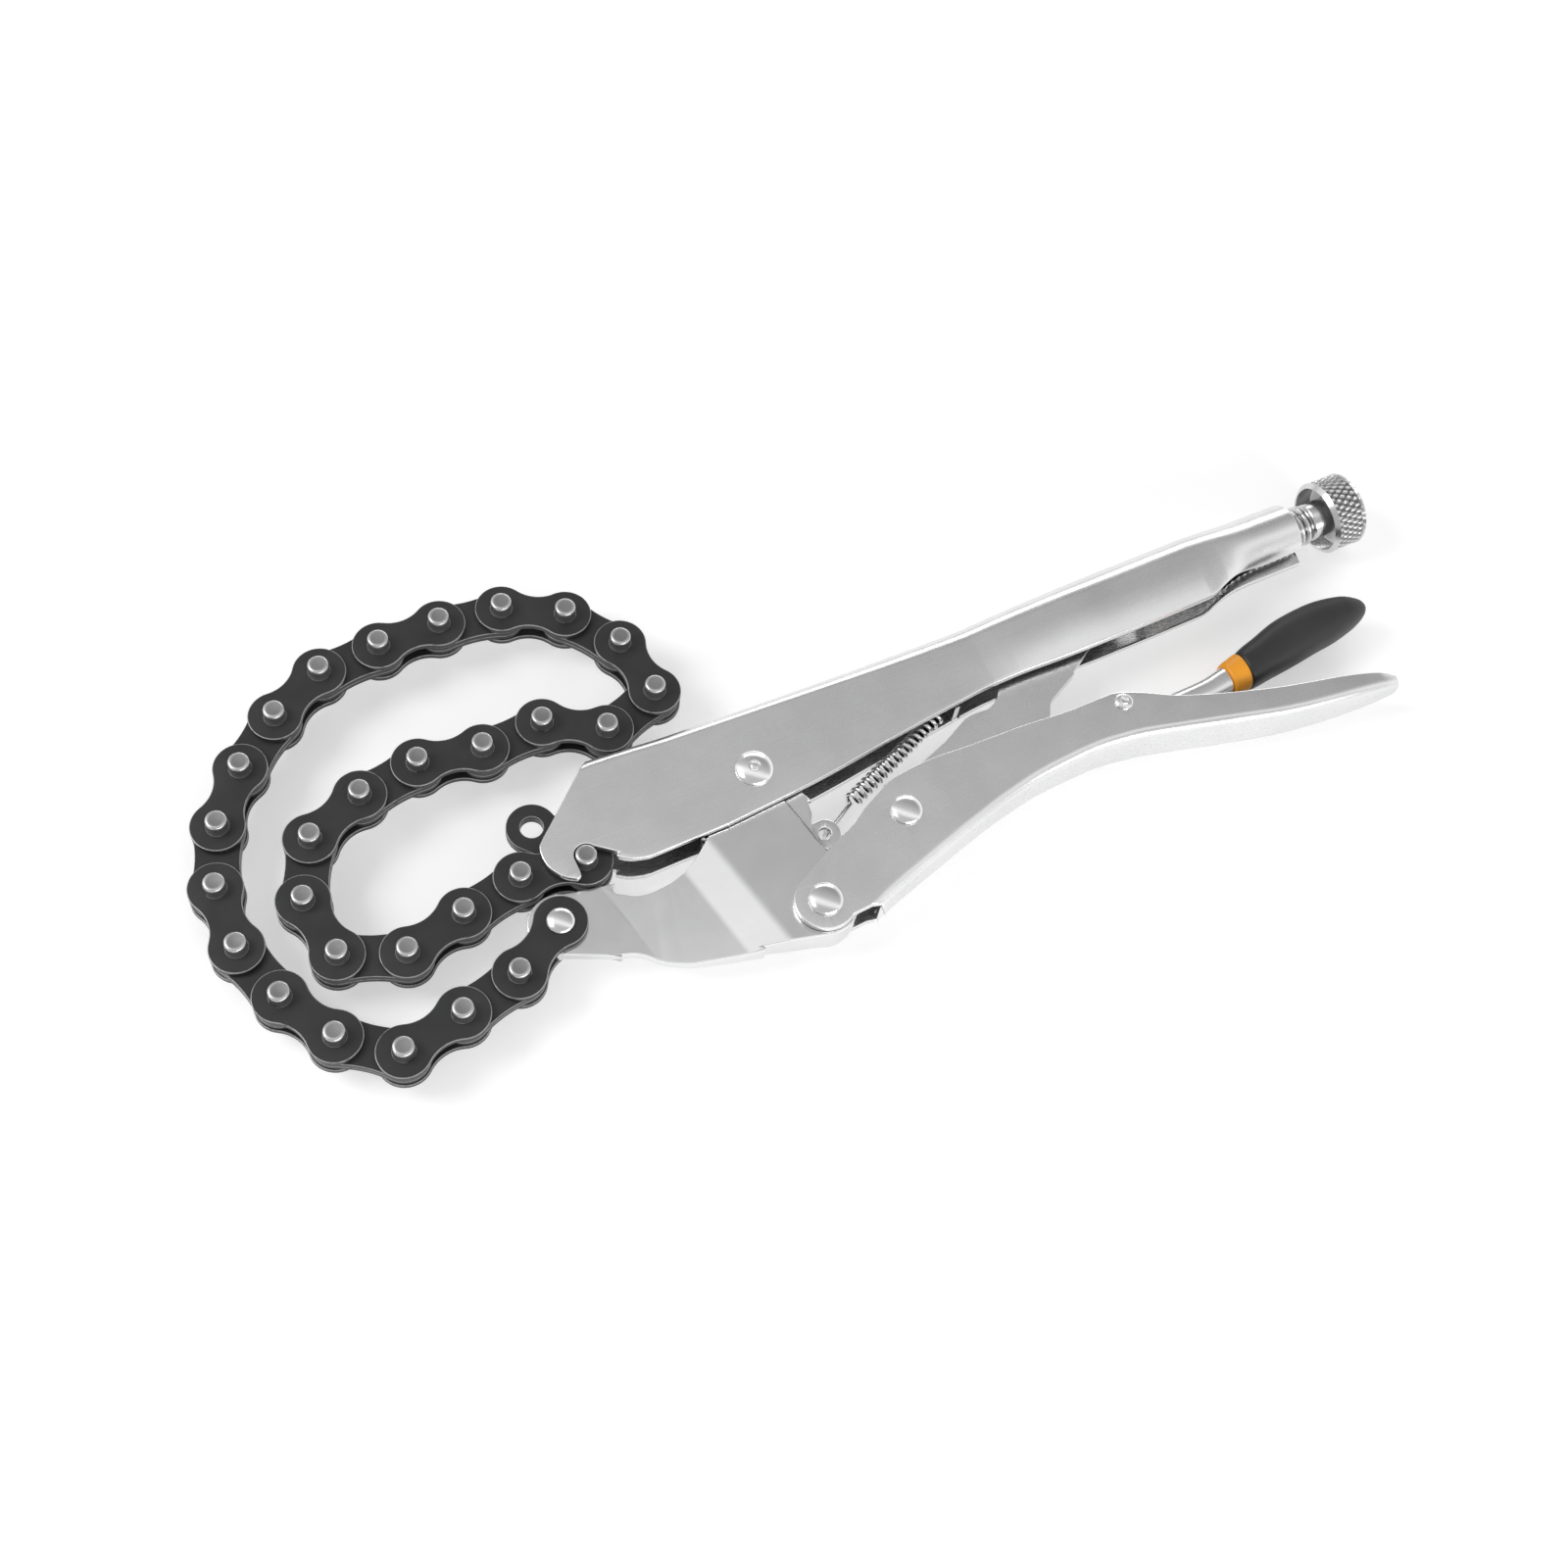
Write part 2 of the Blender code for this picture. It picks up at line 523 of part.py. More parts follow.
def build_fixed_handle():
    shell = loft_mesh("fixed_handle", [handle_ring(*row) for row in HANDLE_ROWS])
    top_corner = (HANDLE_FRONT_X, HOOK_TOP)
    nose = arc(HOOK_NOSE_CENTRE, HOOK_NOSE_RADIUS, 157.0, 247.0, 8)
    seat = arc(HOOK_SEAT, HOOK_SEAT_RADIUS, 182.0, 28.0, 7)
    tail = HOOK_WASTE + [(HANDLE_FRONT_X + HOOK_TOP_RUN, HOOK_WASTE_TOP)]
    around = [top_corner] + nose + HOOK_TIP + seat + HOOK_MOUTH + tail
    front_cut = flat_mesh("front_cut", [around], -OVERRUN, OVERRUN)
    pivot_hole = hole((0.0, 0.0), JAW_RIVET_RADIUS + PIN_GAP, OVERRUN)
    lug_x, lug_y = spring_point(COIL_TURNS * COIL_PITCH + SPRING_TAIL - LUG_INSET)
    lug = flat_mesh("lug", [moved(box_outline(LUG_LENGTH, LUG_WIDTH), (-lug_x, -lug_y))],
                    -HANDLE_HALF_FRONT + SHEET / 2, LUG_RISE)
    radius, reach = LUG_EYE_RADIUS, LUG_EYE_REACH
    eye = turned_mesh("eye", [(0.0, reach), (radius, reach), (radius, -reach), (0.0, -reach)], 8)
    eye.transform(Matrix.Translation((lug_x, lug_y, 0.0)) @ along(SPRING_DIRECTION))
    mesh = combined("fixed_handle", shell, [
        ("DIFFERENCE", front_cut), ("DIFFERENCE", pivot_hole), ("UNION", lug), ("DIFFERENCE", eye)])
    return piece("fixed_handle", mesh, PLATED, tool)


def box_outline(length, width):
    x, y = length / 2, width / 2
    return [(-x, -y), (x, -y), (x, y), (-x, y)]


def along(heading):
    """The turn that lays a Z axis flat, pointing at a heading in degrees."""
    return Matrix.Rotation(math.radians(heading), 4, "Z") @ Matrix.Rotation(math.radians(90.0), 4, "Y")


def spring_point(distance):
    angle = math.radians(SPRING_DIRECTION)
    return (SPRING_COIL_START[0] + distance * math.cos(angle),
            SPRING_COIL_START[1] + distance * math.sin(angle))


def flare_mesh(name, stations):
    """A prism whose half widths follow the stations along the jaw, its bends leaning with the tool."""
    plan = [(x, -half) for x, half in stations] + [(x, half) for x, half in reversed(stations)]
    mesh = flat_mesh(name, [plan], -4 * OVERRUN, 4 * OVERRUN)
    upright = Matrix.Rotation(math.radians(90.0), 4, "X")
    lean = Matrix.Rotation(math.radians(JAW_BEND_LEAN), 4, "Z")
    mesh.transform(Matrix.Translation((0.0, JAW_MIDDLE_Y, 0.0)) @ lean @ upright)
    return mesh


def build_lower_jaw():
    outline = arc(CHAIN_START, JAW_TONGUE_RADIUS, 250.0, 62.0, 10)
    outline += JAW_UPPER_EDGE + arc((0.0, 0.0), JAW_PIVOT_BOSS, 150.0, -22.0, 8)
    outline += JAW_REAR_EDGE + arc(LEVER_PIVOT, JAW_HEEL_RADIUS, 0.0, -100.0, 5) + JAW_LOWER_EDGE
    blank = flat_mesh("lower_jaw", [outline], -OVERRUN, OVERRUN)
    # Width of the folded sheet, seen from above its edge: tongue, flare, cheeks
    front, rear = JAW_BLANK_ENDS
    flare = [(front, JAW_TONGUE_HALF), (JAW_VALLEY_X, JAW_TONGUE_HALF), (JAW_RIDGE_X, JAW_RIDGE_HALF),
             (JAW_FLAT_X, JAW_HALF), (rear, JAW_HALF)]
    envelope = flare_mesh("envelope", flare)
    inside = JAW_HALF - JAW_SHEET
    hollow_flare = [(JAW_RIDGE_X - JAW_HOLLOW_START, JAW_HOLLOW_TOE), (JAW_RIDGE_X, JAW_RIDGE_HALF - JAW_SHEET),
                    (JAW_FLAT_X, inside), (JAW_HOLLOW_END, inside)]
    hollow = flare_mesh("hollow", hollow_flare)
    open_side = flat_mesh("open_side", [JAW_FOLD_LINE], -OVERRUN, OVERRUN)
    cavity = combined("cavity", hollow, [("INTERSECT", open_side)])
    ear = flat_mesh("ear", [EAR_OUTLINE], EAR_LOW, inside + EAR_ROOT)
    mesh = combined("lower_jaw", blank, [
        ("INTERSECT", envelope), ("DIFFERENCE", cavity), ("UNION", ear),
        ("DIFFERENCE", hole(SPRING_EYE, EAR_HOLE_RADIUS, OVERRUN, 8)),
        ("DIFFERENCE", hole((0.0, 0.0), JAW_RIVET_RADIUS + PIN_GAP, OVERRUN)),
        ("DIFFERENCE", hole(LEVER_PIVOT, LEVER_RIVET_RADIUS + PIN_GAP, OVERRUN)),
        ("DIFFERENCE", hole(CHAIN_START, CHAIN_RIVET_RADIUS + PIN_GAP, OVERRUN))])
    return piece("lower_jaw", mesh, PLATED, jaw_frame)


def lever_ring(x, open_edge, spine, half):
    outer, inner = channel_section(-open_edge, -spine, half, LEVER_SHEET, LEVER_CORNER)
    return [(x, -y, -z) for y, z in outer + inner[::-1]]


def build_lever_handle():
    shell = loft_mesh("lever_handle", [lever_ring(*row) for row in LEVER_ROWS])
    pivot = LEVER_PIVOT
    nose = arc(pivot, LEVER_NOSE_RADIUS, 121.0, 306.0, 12)
    around = nose + LEVER_WASTE
    front_cut = flat_mesh("lever_front", [around], -OVERRUN, OVERRUN)
    inside = LEVER_HALF_FRONT - LEVER_SHEET
    arch = flat_mesh("arch", [LEVER_ARCH], -inside, inside)
    mesh = combined("lever_handle", shell, [
        ("DIFFERENCE", front_cut), ("DIFFERENCE", arch),
        ("DIFFERENCE", hole(pivot, LEVER_RIVET_RADIUS + PIN_GAP, OVERRUN)),
        ("DIFFERENCE", hole(LINK_PIVOT, LINK_RIVET_RADIUS + PIN_GAP, OVERRUN)),
        ("DIFFERENCE", hole(RELEASE_PIVOT, RELEASE_PIN_RADIUS + PIN_GAP, OVERRUN, 10))])
    mesh.transform(Matrix.Translation((-pivot[0], -pivot[1], 0.0)))
    return piece("lever_handle", mesh, PLATED, lever_frame)


def build_toggle_link():
    outline = arc(LINK_PIVOT, LINK_EYE_RADIUS, 113.0, 293.0, 8) + LINK_LOWER_EDGE
    outline += arc(LINK_END, LINK_END_RADIUS, -50.0, 100.0, 6) + LINK_UPPER_EDGE
    blank = flat_mesh("toggle_link", [outline], -LINK_HALF, LINK_HALF)
    hub = flat_mesh("hub", [circle(LINK_PIVOT, LINK_HUB_RADIUS, RIVET_SIDES)], -LINK_HUB_HALF, LINK_HUB_HALF)
    mesh = combined("toggle_link", blank, [
        ("UNION", hub), ("DIFFERENCE", hole(LINK_PIVOT, LINK_RIVET_RADIUS + PIN_GAP, OVERRUN))])
    mesh.transform(Matrix.Translation((-LINK_PIVOT[0], -LINK_PIVOT[1], 0.0)))
    return piece("toggle_link", mesh, PLATED, link_frame)


def rivet_mesh(name, radius, head, height, face, sides=RIVET_SIDES):
    """A rivet with a domed head beyond each outer face."""
    seat = face + RIVET_SEAT_GAP
    dome = [(0.0, seat + height), (head * 0.5, seat + height * 0.88), (head * 0.86, seat + height * 0.5),
            (head, seat)]
    profile = dome + [(radius, seat)]
    profile += [(r, -z) for r, z in reversed(profile)]
    return turned_mesh(name, profile, sides)


def build_rivets():
    sizes = [
        ("jaw_rivet", JAW_RIVET_RADIUS, JAW_RIVET_HEAD, JAW_RIVET_HEIGHT, HANDLE_HALF_FRONT, tool, (0.0, 0.0)),
        ("lever_rivet", LEVER_RIVET_RADIUS, LEVER_RIVET_HEAD, LEVER_RIVET_HEIGHT,
         LEVER_HALF_FRONT + LEVER_RIVET_LIFT,
         lever_frame, (0.0, 0.0)),
        ("link_rivet", LINK_RIVET_RADIUS, LINK_RIVET_HEAD, LINK_RIVET_HEIGHT,
         LEVER_HALF_FRONT + LINK_RIVET_LIFT,
         lever_frame, LINK_OFFSET),
        ("chain_rivet", CHAIN_RIVET_RADIUS, CHAIN_RIVET_HEAD, CHAIN_RIVET_HEIGHT,
         OUTER_PLATE_INSIDE + OUTER_PLATE_THICKNESS, jaw_frame, CHAIN_START),
    ]
    for name, radius, head, height, face, parent, at in sizes:
        piece(name, rivet_mesh(name, radius, head, height, face), BRIGHT, parent, (*at, 0.0))
    pin = rivet_mesh("release_pin", RELEASE_PIN_RADIUS, RELEASE_PIN_HEAD, RELEASE_PIN_HEIGHT,
                     LEVER_HALF_REAR, 12)
    piece("release_pin", pin, BRIGHT, lever_frame, (*RELEASE_OFFSET, 0.0))


def build_screw():
    """The screw lies on the tube's axis with its origin at the tip."""
    steps = [
        (0.0, 0.0), (SCREW_NOSE_RADIUS - NOSE_CHAMFER, 0.0), (SCREW_NOSE_RADIUS, NOSE_CHAMFER),
        (SCREW_NOSE_RADIUS, SCREW_NOSE_LENGTH), (SCREW_RADIUS, SCREW_NOSE_LENGTH + NOSE_SHOULDER),
        (SCREW_RADIUS, THREAD_END_X - SCREW_TIP_X - THREAD_CHAMFER), (NECK_RADIUS, THREAD_END_X - SCREW_TIP_X),
        (NECK_RADIUS, CUP_FLOOR_X - SCREW_TIP_X),
        (CUP_INSIDE_RADIUS - CUP_FLOOR_FILLET, CUP_FLOOR_X - SCREW_TIP_X),
        (CUP_INSIDE_RADIUS, CUP_RIM_X - SCREW_TIP_X), (HEAD_RADIUS - HEAD_RIM_CHAMFER, CUP_RIM_X - SCREW_TIP_X),
        (HEAD_RADIUS, CUP_RIM_X - SCREW_TIP_X + HEAD_CHAMFER),
        (HEAD_RADIUS, HEAD_END_X - SCREW_TIP_X - HEAD_CHAMFER),
        (HEAD_RADIUS - HEAD_CHAMFER, HEAD_END_X - SCREW_TIP_X), (0.0, HEAD_END_X - SCREW_TIP_X),
    ]
    mesh = turned_mesh("adjusting_screw", list(reversed(steps)), 20)
    mesh.transform(along(0.0))
    frame = joint_frame("screw_frame", tool, (SCREW_TIP_X, TUBE_AXIS_Y, 0.0))
    return piece("adjusting_screw", mesh, BRIGHT, frame)


def oval_ring(x, middle, half_height, half_width, sides, square=2.0):
    """A rounded section, from an ellipse (2) towards a box (more)."""
    ring = []
    for i in range(sides):
        angle = 2 * math.pi * (i + 0.5) / sides
        c, s = math.cos(angle), math.sin(angle)
        ring.append((x, middle + half_height * math.copysign(abs(c) ** (2 / square), c),
                     half_width * math.copysign(abs(s) ** (2 / square), s)))
    return ring


def build_release_lever():
    at = RELEASE_PIVOT
    home = Matrix.Translation((-at[0], -at[1], 0.0))
    neck = loft_mesh("neck", [oval_ring(*row, 12, 3.2) for row in NECK_ROWS])
    # Pressed arm in the channel: a nose under the link, an eye round the pin
    nose = arc(ARM_NOSE, ARM_NOSE_RADIUS, 90.0, 250.0, 4)
    arm_outline = nose + ARM_EDGE + arc(at, ARM_EYE_RADIUS, 35.0, 118.0, 4)
    arm = flat_mesh("arm", [arm_outline], -RELEASE_HALF, RELEASE_HALF)
    slot = flat_mesh("slot", [ARM_SLOT], -RELEASE_HALF + RELEASE_SHEET, RELEASE_HALF - RELEASE_SHEET)
    tang = flat_mesh("tang", [TANG_BOTTOM + TANG_TOP[::-1]], -TANG_HALF_WIDTH, TANG_HALF_WIDTH)
    lever = combined("release_lever", arm, [
        ("DIFFERENCE", slot), ("UNION", neck), ("UNION", tang),
        ("DIFFERENCE", hole(at, RELEASE_PIN_RADIUS + PIN_GAP, OVERRUN, 10))])
    gap = FACE_GAP
    # The tang's own outline, a gap wider all round and longer at both ends
    ends = (-POCKET_MOUTH, 0.0, gap)
    bottom = [(x + end, y - gap) for (x, y), end in zip(TANG_BOTTOM, ends)]
    top = [(x + end, y + gap) for (x, y), end in zip(TANG_TOP, ends)]
    pocket = flat_mesh("pocket", [bottom + top[::-1]], -TANG_HALF_WIDTH - gap, TANG_HALF_WIDTH + gap)
    band = loft_mesh("band", [oval_ring(*row, 16, 2.6) for row in COLLAR_ENDS])
    collar = combined("release_collar", band, [("DIFFERENCE", pocket.copy())])
    body = loft_mesh("grip", [oval_ring(*row, 16, 2.4) for row in GRIP_ROWS])
    grip = combined("release_grip", body, [("DIFFERENCE", pocket)])
    for name, mesh, look in (("release_lever", lever, PLATED), ("release_collar", collar, ORANGE),
                             ("release_grip", grip, BLACK)):
        mesh.transform(home)
        piece(name, mesh, look, release_frame, smooth=50.0)


def build_spring():
    """One wire: a hook through the jaw's ear, the coil, and a straight tail."""
    heading = math.radians(SPRING_DIRECTION)
    side = Vector((-math.sin(heading), math.cos(heading), 0.0))
    up = Vector((0.0, 0.0, 1.0))
    ahead = Vector((math.cos(heading), math.sin(heading), 0.0))
    start = Vector((*SPRING_COIL_START, 0.0))
    eye = Vector((*SPRING_EYE, 0.0))
    level = COIL_RADIUS - WIRE_DROP
    route = [eye + up * rise for rise in HOOK_RISES]
    route += [eye + up * (level + HOOK_BEND), eye + up * level + ahead * HOOK_BEND_RUN,
              start - ahead * LEAD_IN + up * level]
    count = COIL_TURNS * COIL_POINTS_PER_TURN
    coil = []
    for i in range(count + 1):
        angle = 2 * math.pi * i / COIL_POINTS_PER_TURN
        reach = ahead * (COIL_PITCH * i / COIL_POINTS_PER_TURN)
        coil.append(start + reach + (side * math.sin(angle) - up * math.cos(angle)) * COIL_RADIUS)
    finish = start + ahead * (COIL_TURNS * COIL_PITCH)
    tail = [finish + ahead * TAIL_RISE - up * TAIL_DROP, finish + ahead * TAIL_START,
            finish + ahead * SPRING_TAIL]
    route += coil + tail
    gap = coil_gap(coil)
    print(f"return_spring: least gap between curls {gap / MM:.2f} mm")
    curve = bpy.data.curves.new("return_spring", "CURVE")
    curve.dimensions = "3D"
    curve.bevel_depth = WIRE_RADIUS
    curve.bevel_resolution = 1
    curve.use_fill_caps = True
    spline = curve.splines.new("POLY")
    spline.points.add(len(route) - 1)
    for point, place_ in zip(spline.points, route):
        point.co = (*place_, 1.0)
    item = bpy.data.objects.new("return_spring", curve)
    curve.materials.append(WIRE)
    return place(item, PARTS, tool)


def coil_gap(points):
    """The least clear distance of the wire to its own next curls."""
    near = min((a - b).length for i, a in enumerate(points) for b in points[i + COIL_POINTS_PER_TURN // 2:])
    return near - 2 * WIRE_RADIUS


def plate_outline(end_radius, waist_half, end_steps, waist_steps):
    """A figure of eight: two round ends joined by hollow flanks that meet them smoothly."""
    half = CHAIN_PITCH / 2
    flank = (half ** 2 + waist_half ** 2 - end_radius ** 2) / (2 * (end_radius - waist_half))
    rise = flank + waist_half
    angle = math.degrees(math.atan2(rise, half))
    points = arc((0.0, 0.0), end_radius, angle, 360.0 - angle, end_steps)
    points += arc((half, -rise), flank, 180.0 - angle, angle, waist_steps)[1:-1]
    points += arc((CHAIN_PITCH, 0.0), end_radius, -180.0 + angle, 180.0 - angle, end_steps)
    points += arc((half, rise), flank, -angle, -180.0 + angle, waist_steps)[1:-1]
    return points


def outer_link_mesh(name, first_hole):
    """Two plates riveted on their pins, or with holes at the first end."""
    outline = plate_outline(OUTER_END_RADIUS, OUTER_WAIST_HALF, OUTER_END_STEPS, 3)
    outlines = [outline]
    if first_hole:
        outlines.append(circle((0.0, 0.0), CHAIN_RIVET_RADIUS + PIN_GAP, PIN_SIDES))
    low, high = OUTER_PLATE_INSIDE, OUTER_PLATE_INSIDE + OUTER_PLATE_THICKNESS
    reach = CHAIN_PIN_HALF_LENGTH
    steps = [("UNION", flat_mesh("plate", outlines, -high, -low))]
    pin = flat_mesh("pin", [circle((CHAIN_PITCH, 0.0), CHAIN_PIN_RADIUS, PIN_SIDES)], -reach, reach)
    steps.append(("UNION", pin))
    if not first_hole:
        first_pin = flat_mesh("pin", [circle((0.0, 0.0), CHAIN_PIN_RADIUS, PIN_SIDES)], -reach, reach)
        steps.append(("UNION", first_pin))
    return combined(name, flat_mesh("plate", outlines, low, high), steps)


def inner_plate_mesh(name):
    bore = CHAIN_PIN_RADIUS + 1.8 * PIN_GAP
    outlines = [plate_outline(INNER_END_RADIUS, INNER_WAIST_HALF, INNER_END_STEPS, 2),
                circle((0.0, 0.0), bore, PIN_SIDES), circle((CHAIN_PITCH, 0.0), bore, PIN_SIDES)]
    return flat_mesh(name, outlines, 0.0, INNER_PLATE_THICKNESS)


def chain_headings():
    """Headings of all links. The last two close the loop on the hook's seat."""
    headings = [CHAIN_START_HEADING]
    at = list(CHAIN_START)
    for turn in CHAIN_TURNS:
        at[0] += CHAIN_PITCH * math.cos(math.radians(headings[-1]))
        at[1] += CHAIN_PITCH * math.sin(math.radians(headings[-1]))
        headings.append(headings[-1] + turn)
    headings.pop()
    dx, dy = HOOK_SEAT[0] - at[0], HOOK_SEAT[1] - at[1]
    span, across = math.hypot(dx, dy), math.degrees(math.atan2(dy, dx))
    bow = math.degrees(math.acos(min(span / (2 * CHAIN_PITCH), 1.0)))
    headings += [across + bow, across - bow]
    return headings + [headings[-1] + LOOSE_END_TURN]


def build_chain():
    headings = chain_headings()
    shared_outer = outer_link_mesh("outer_link", False)
    shared_inner = inner_plate_mesh("inner_plate")
    parent, at, heading = jaw_frame, CHAIN_START, 0.0
    for number, next_heading in enumerate(headings, 1):
        name = f"link_{number:02d}"
        where, turn = (*at, 0.0), next_heading - heading
        if number % 2:
            mesh = outer_link_mesh("first_link", True) if number == 1 else shared_outer
            parent = piece(name, mesh, OXIDE, parent, where, turn)
        else:
            parent = joint_frame(name + "_frame", parent, where, turn)
            low = -INNER_PLATE_OFFSET - INNER_PLATE_THICKNESS
            piece(name + "_upper", shared_inner, OXIDE, parent, (0.0, 0.0, INNER_PLATE_OFFSET))
            piece(name + "_lower", shared_inner, OXIDE, parent, (0.0, 0.0, low))
        at, heading = (CHAIN_PITCH, 0.0), next_heading


build_fixed_handle()
build_lower_jaw()
build_lever_handle()
build_toggle_link()
build_rivets()
build_screw()
build_release_lever()
build_spring()
build_chain()
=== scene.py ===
"""Looks of the chain clamp: its plated sheet handles, polished jaw, screw, spring and chain."""

from math import acos, asin, atan2, copysign, cos, degrees, exp, hypot, pi, radians, sin, tan

import bmesh
import bpy
import numpy as np
from mathutils import Matrix, Vector


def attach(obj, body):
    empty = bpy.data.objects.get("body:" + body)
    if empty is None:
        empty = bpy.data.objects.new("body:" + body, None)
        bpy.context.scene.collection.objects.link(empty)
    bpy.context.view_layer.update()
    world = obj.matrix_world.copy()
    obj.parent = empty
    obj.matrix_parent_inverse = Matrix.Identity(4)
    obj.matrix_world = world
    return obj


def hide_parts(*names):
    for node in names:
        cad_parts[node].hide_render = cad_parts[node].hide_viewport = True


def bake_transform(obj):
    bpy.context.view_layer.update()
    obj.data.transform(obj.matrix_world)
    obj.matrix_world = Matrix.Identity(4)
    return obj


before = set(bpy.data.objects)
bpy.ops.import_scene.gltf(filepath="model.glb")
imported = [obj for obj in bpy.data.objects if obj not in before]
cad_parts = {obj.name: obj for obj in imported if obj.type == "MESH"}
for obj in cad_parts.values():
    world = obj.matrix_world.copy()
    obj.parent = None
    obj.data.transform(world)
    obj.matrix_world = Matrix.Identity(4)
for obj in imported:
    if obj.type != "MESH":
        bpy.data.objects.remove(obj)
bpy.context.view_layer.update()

MM = 0.001


# Lengths, outlines and simple meshes

def mm(*lengths):
    """Lengths in millimetres, turned into metres."""
    return tuple(length * MM for length in lengths)


def in_mm(*rows):
    """Points or rows of a table in millimetres, turned into metres."""
    return [mm(*row) for row in rows]


def arc(centre, radius, start, end, steps):
    """Points on an arc, with its angles in degrees."""
    angles = (radians(start + (end - start) * i / steps) for i in range(steps + 1))
    return [(centre[0] + radius * cos(a), centre[1] + radius * sin(a)) for a in angles]


def circle(centre, radius, sides):
    half = 180.0 / sides
    return arc(centre, radius, half, 360.0 + half, sides)[:-1]


def rounded(corners, steps=5, reach=0.5):
    """An outline whose corners, given as (x, y, radius), are turned into arcs."""
    made = []
    for i, corner in enumerate(corners):
        here, radius = Vector(corner[:2]), corner[2] if len(corner) > 2 else 0.0
        if radius <= 0.0:
            made.append(tuple(here))
            continue
        before = Vector(corners[i - 1][:2]) - here
        after = Vector(corners[(i + 1) % len(corners)][:2]) - here
        half = before.angle(after) / 2
        cut = min(radius / tan(half), before.length * reach, after.length * reach)
        radius = cut * tan(half)
        before.normalize()
        after.normalize()
        centre = here + (before + after).normalized() * radius / sin(half)
        first, last = here + before * cut - centre, here + after * cut - centre
        turn = atan2(first.x * last.y - first.y * last.x, first.dot(last))
        start = atan2(first.y, first.x)
        for k in range(steps + 1):
            angle = start + turn * k / steps
            made.append((centre.x + radius * cos(angle), centre.y + radius * sin(angle)))
    return made


def helper(name, data):
    item = bpy.data.objects.new(name, data)
    bpy.context.scene.collection.objects.link(item)
    return item


def evaluated_mesh(item):
    """The object's finished mesh. The object itself is thrown away."""
    bpy.context.view_layer.update()
    graph = bpy.context.evaluated_depsgraph_get()
    mesh = bpy.data.meshes.new_from_object(item.evaluated_get(graph))
    bpy.data.objects.remove(item, do_unlink=True)
    return mesh


def poly_curve(name, dimensions, routes, cyclic):
    """A curve of straight runs, one for each route of 3-D points."""
    curve = bpy.data.curves.new(name, "CURVE")
    curve.dimensions = dimensions
    for route in routes:
        spline = curve.splines.new("POLY")
        spline.points.add(len(route) - 1)
        for point, at in zip(spline.points, route):
            point.co = (*at, 1.0)
        spline.use_cyclic_u = cyclic
    return curve


def flat_mesh(name, outlines, high, low=None):
    """An outline and any holes in it, from low to high, or as far below zero as above."""
    low = -high if low is None else low
    curve = poly_curve(name, "2D", [[(x, y, 0.0) for x, y in outline] for outline in outlines], True)
    curve.fill_mode = "BOTH"
    curve.extrude = (high - low) / 2
    mesh = evaluated_mesh(helper(name, curve))
    work = bmesh.new()
    work.from_mesh(mesh)
    bmesh.ops.remove_doubles(work, verts=work.verts, dist=0.001 * MM)
    bmesh.ops.translate(work, verts=work.verts, vec=(0.0, 0.0, (low + high) / 2))
    bmesh.ops.recalc_face_normals(work, faces=work.faces)
    work.to_mesh(mesh)
    work.free()
    return mesh


def turned_mesh(name, profile, sides, axis_y=None):
    """Radius and height pairs turned about Z, or about a line along X at a given Y.

    A radius can also be a list, with one radius for each side."""
    work = bmesh.new()
    rings = []
    for radius, height in profile:
        if not isinstance(radius, list):
            radius = [radius] * sides if radius > 1e-6 else [0.0]
        ring = []
        for i, reach in enumerate(radius):
            angle = 2 * pi * i / sides
            a, b = reach * cos(angle), reach * sin(angle)
            ring.append(work.verts.new((a, b, height) if axis_y is None else (height, axis_y + a, b)))
        rings.append(ring)
    join_rings(work, rings)
    return as_mesh(work, name)


def join_rings(work, rings):
    """Faces between neighbouring rings, of which one may be a single point."""
    for near, far in zip(rings, rings[1:]):
        for i in range(max(len(near), len(far))):
            corners = [near[i % len(near)], near[(i + 1) % len(near)],
                       far[(i + 1) % len(far)], far[i % len(far)]]
            work.faces.new(list(dict.fromkeys(corners)))


def as_mesh(work, name):
    bmesh.ops.recalc_face_normals(work, faces=work.faces)
    mesh = bpy.data.meshes.new(name)
    work.to_mesh(mesh)
    work.free()
    return mesh


def split_large_faces(work):
    bmesh.ops.triangulate(work, faces=[f for f in work.faces if len(f.verts) > 4])


def loft_mesh(name, rings):
    """Closed rings of the same count joined in order, with flat ends."""
    work = bmesh.new()
    rows = [[work.verts.new(point) for point in ring] for ring in rings]
    join_rings(work, rows)
    work.faces.new(list(reversed(rows[0])))
    work.faces.new(rows[-1])
    split_large_faces(work)
    return as_mesh(work, name)


def combined(name, mesh, steps):
    """The mesh after Booleans, each step being an operation and another mesh."""
    item = helper(name, mesh)
    tools = []
    for operation, other in steps:
        tools.append(helper(name + "_tool", other))
        change = item.modifiers.new(operation.lower(), "BOOLEAN")
        change.operation = operation
        change.object = tools[-1]
        change.solver = "EXACT"
    made = evaluated_mesh(item)
    for tool in tools:
        bpy.data.objects.remove(tool, do_unlink=True)
    return made


# Points nearer than this are one, and a face bent less than this many degrees is flat. Thinner faces
# and sharper bends than these are left over from a Boolean and aren't edges
WELD = 0.02 * MM
FLAT = 0.2
SLIVER = 0.004 * MM
FOLDED_BACK = 165.0


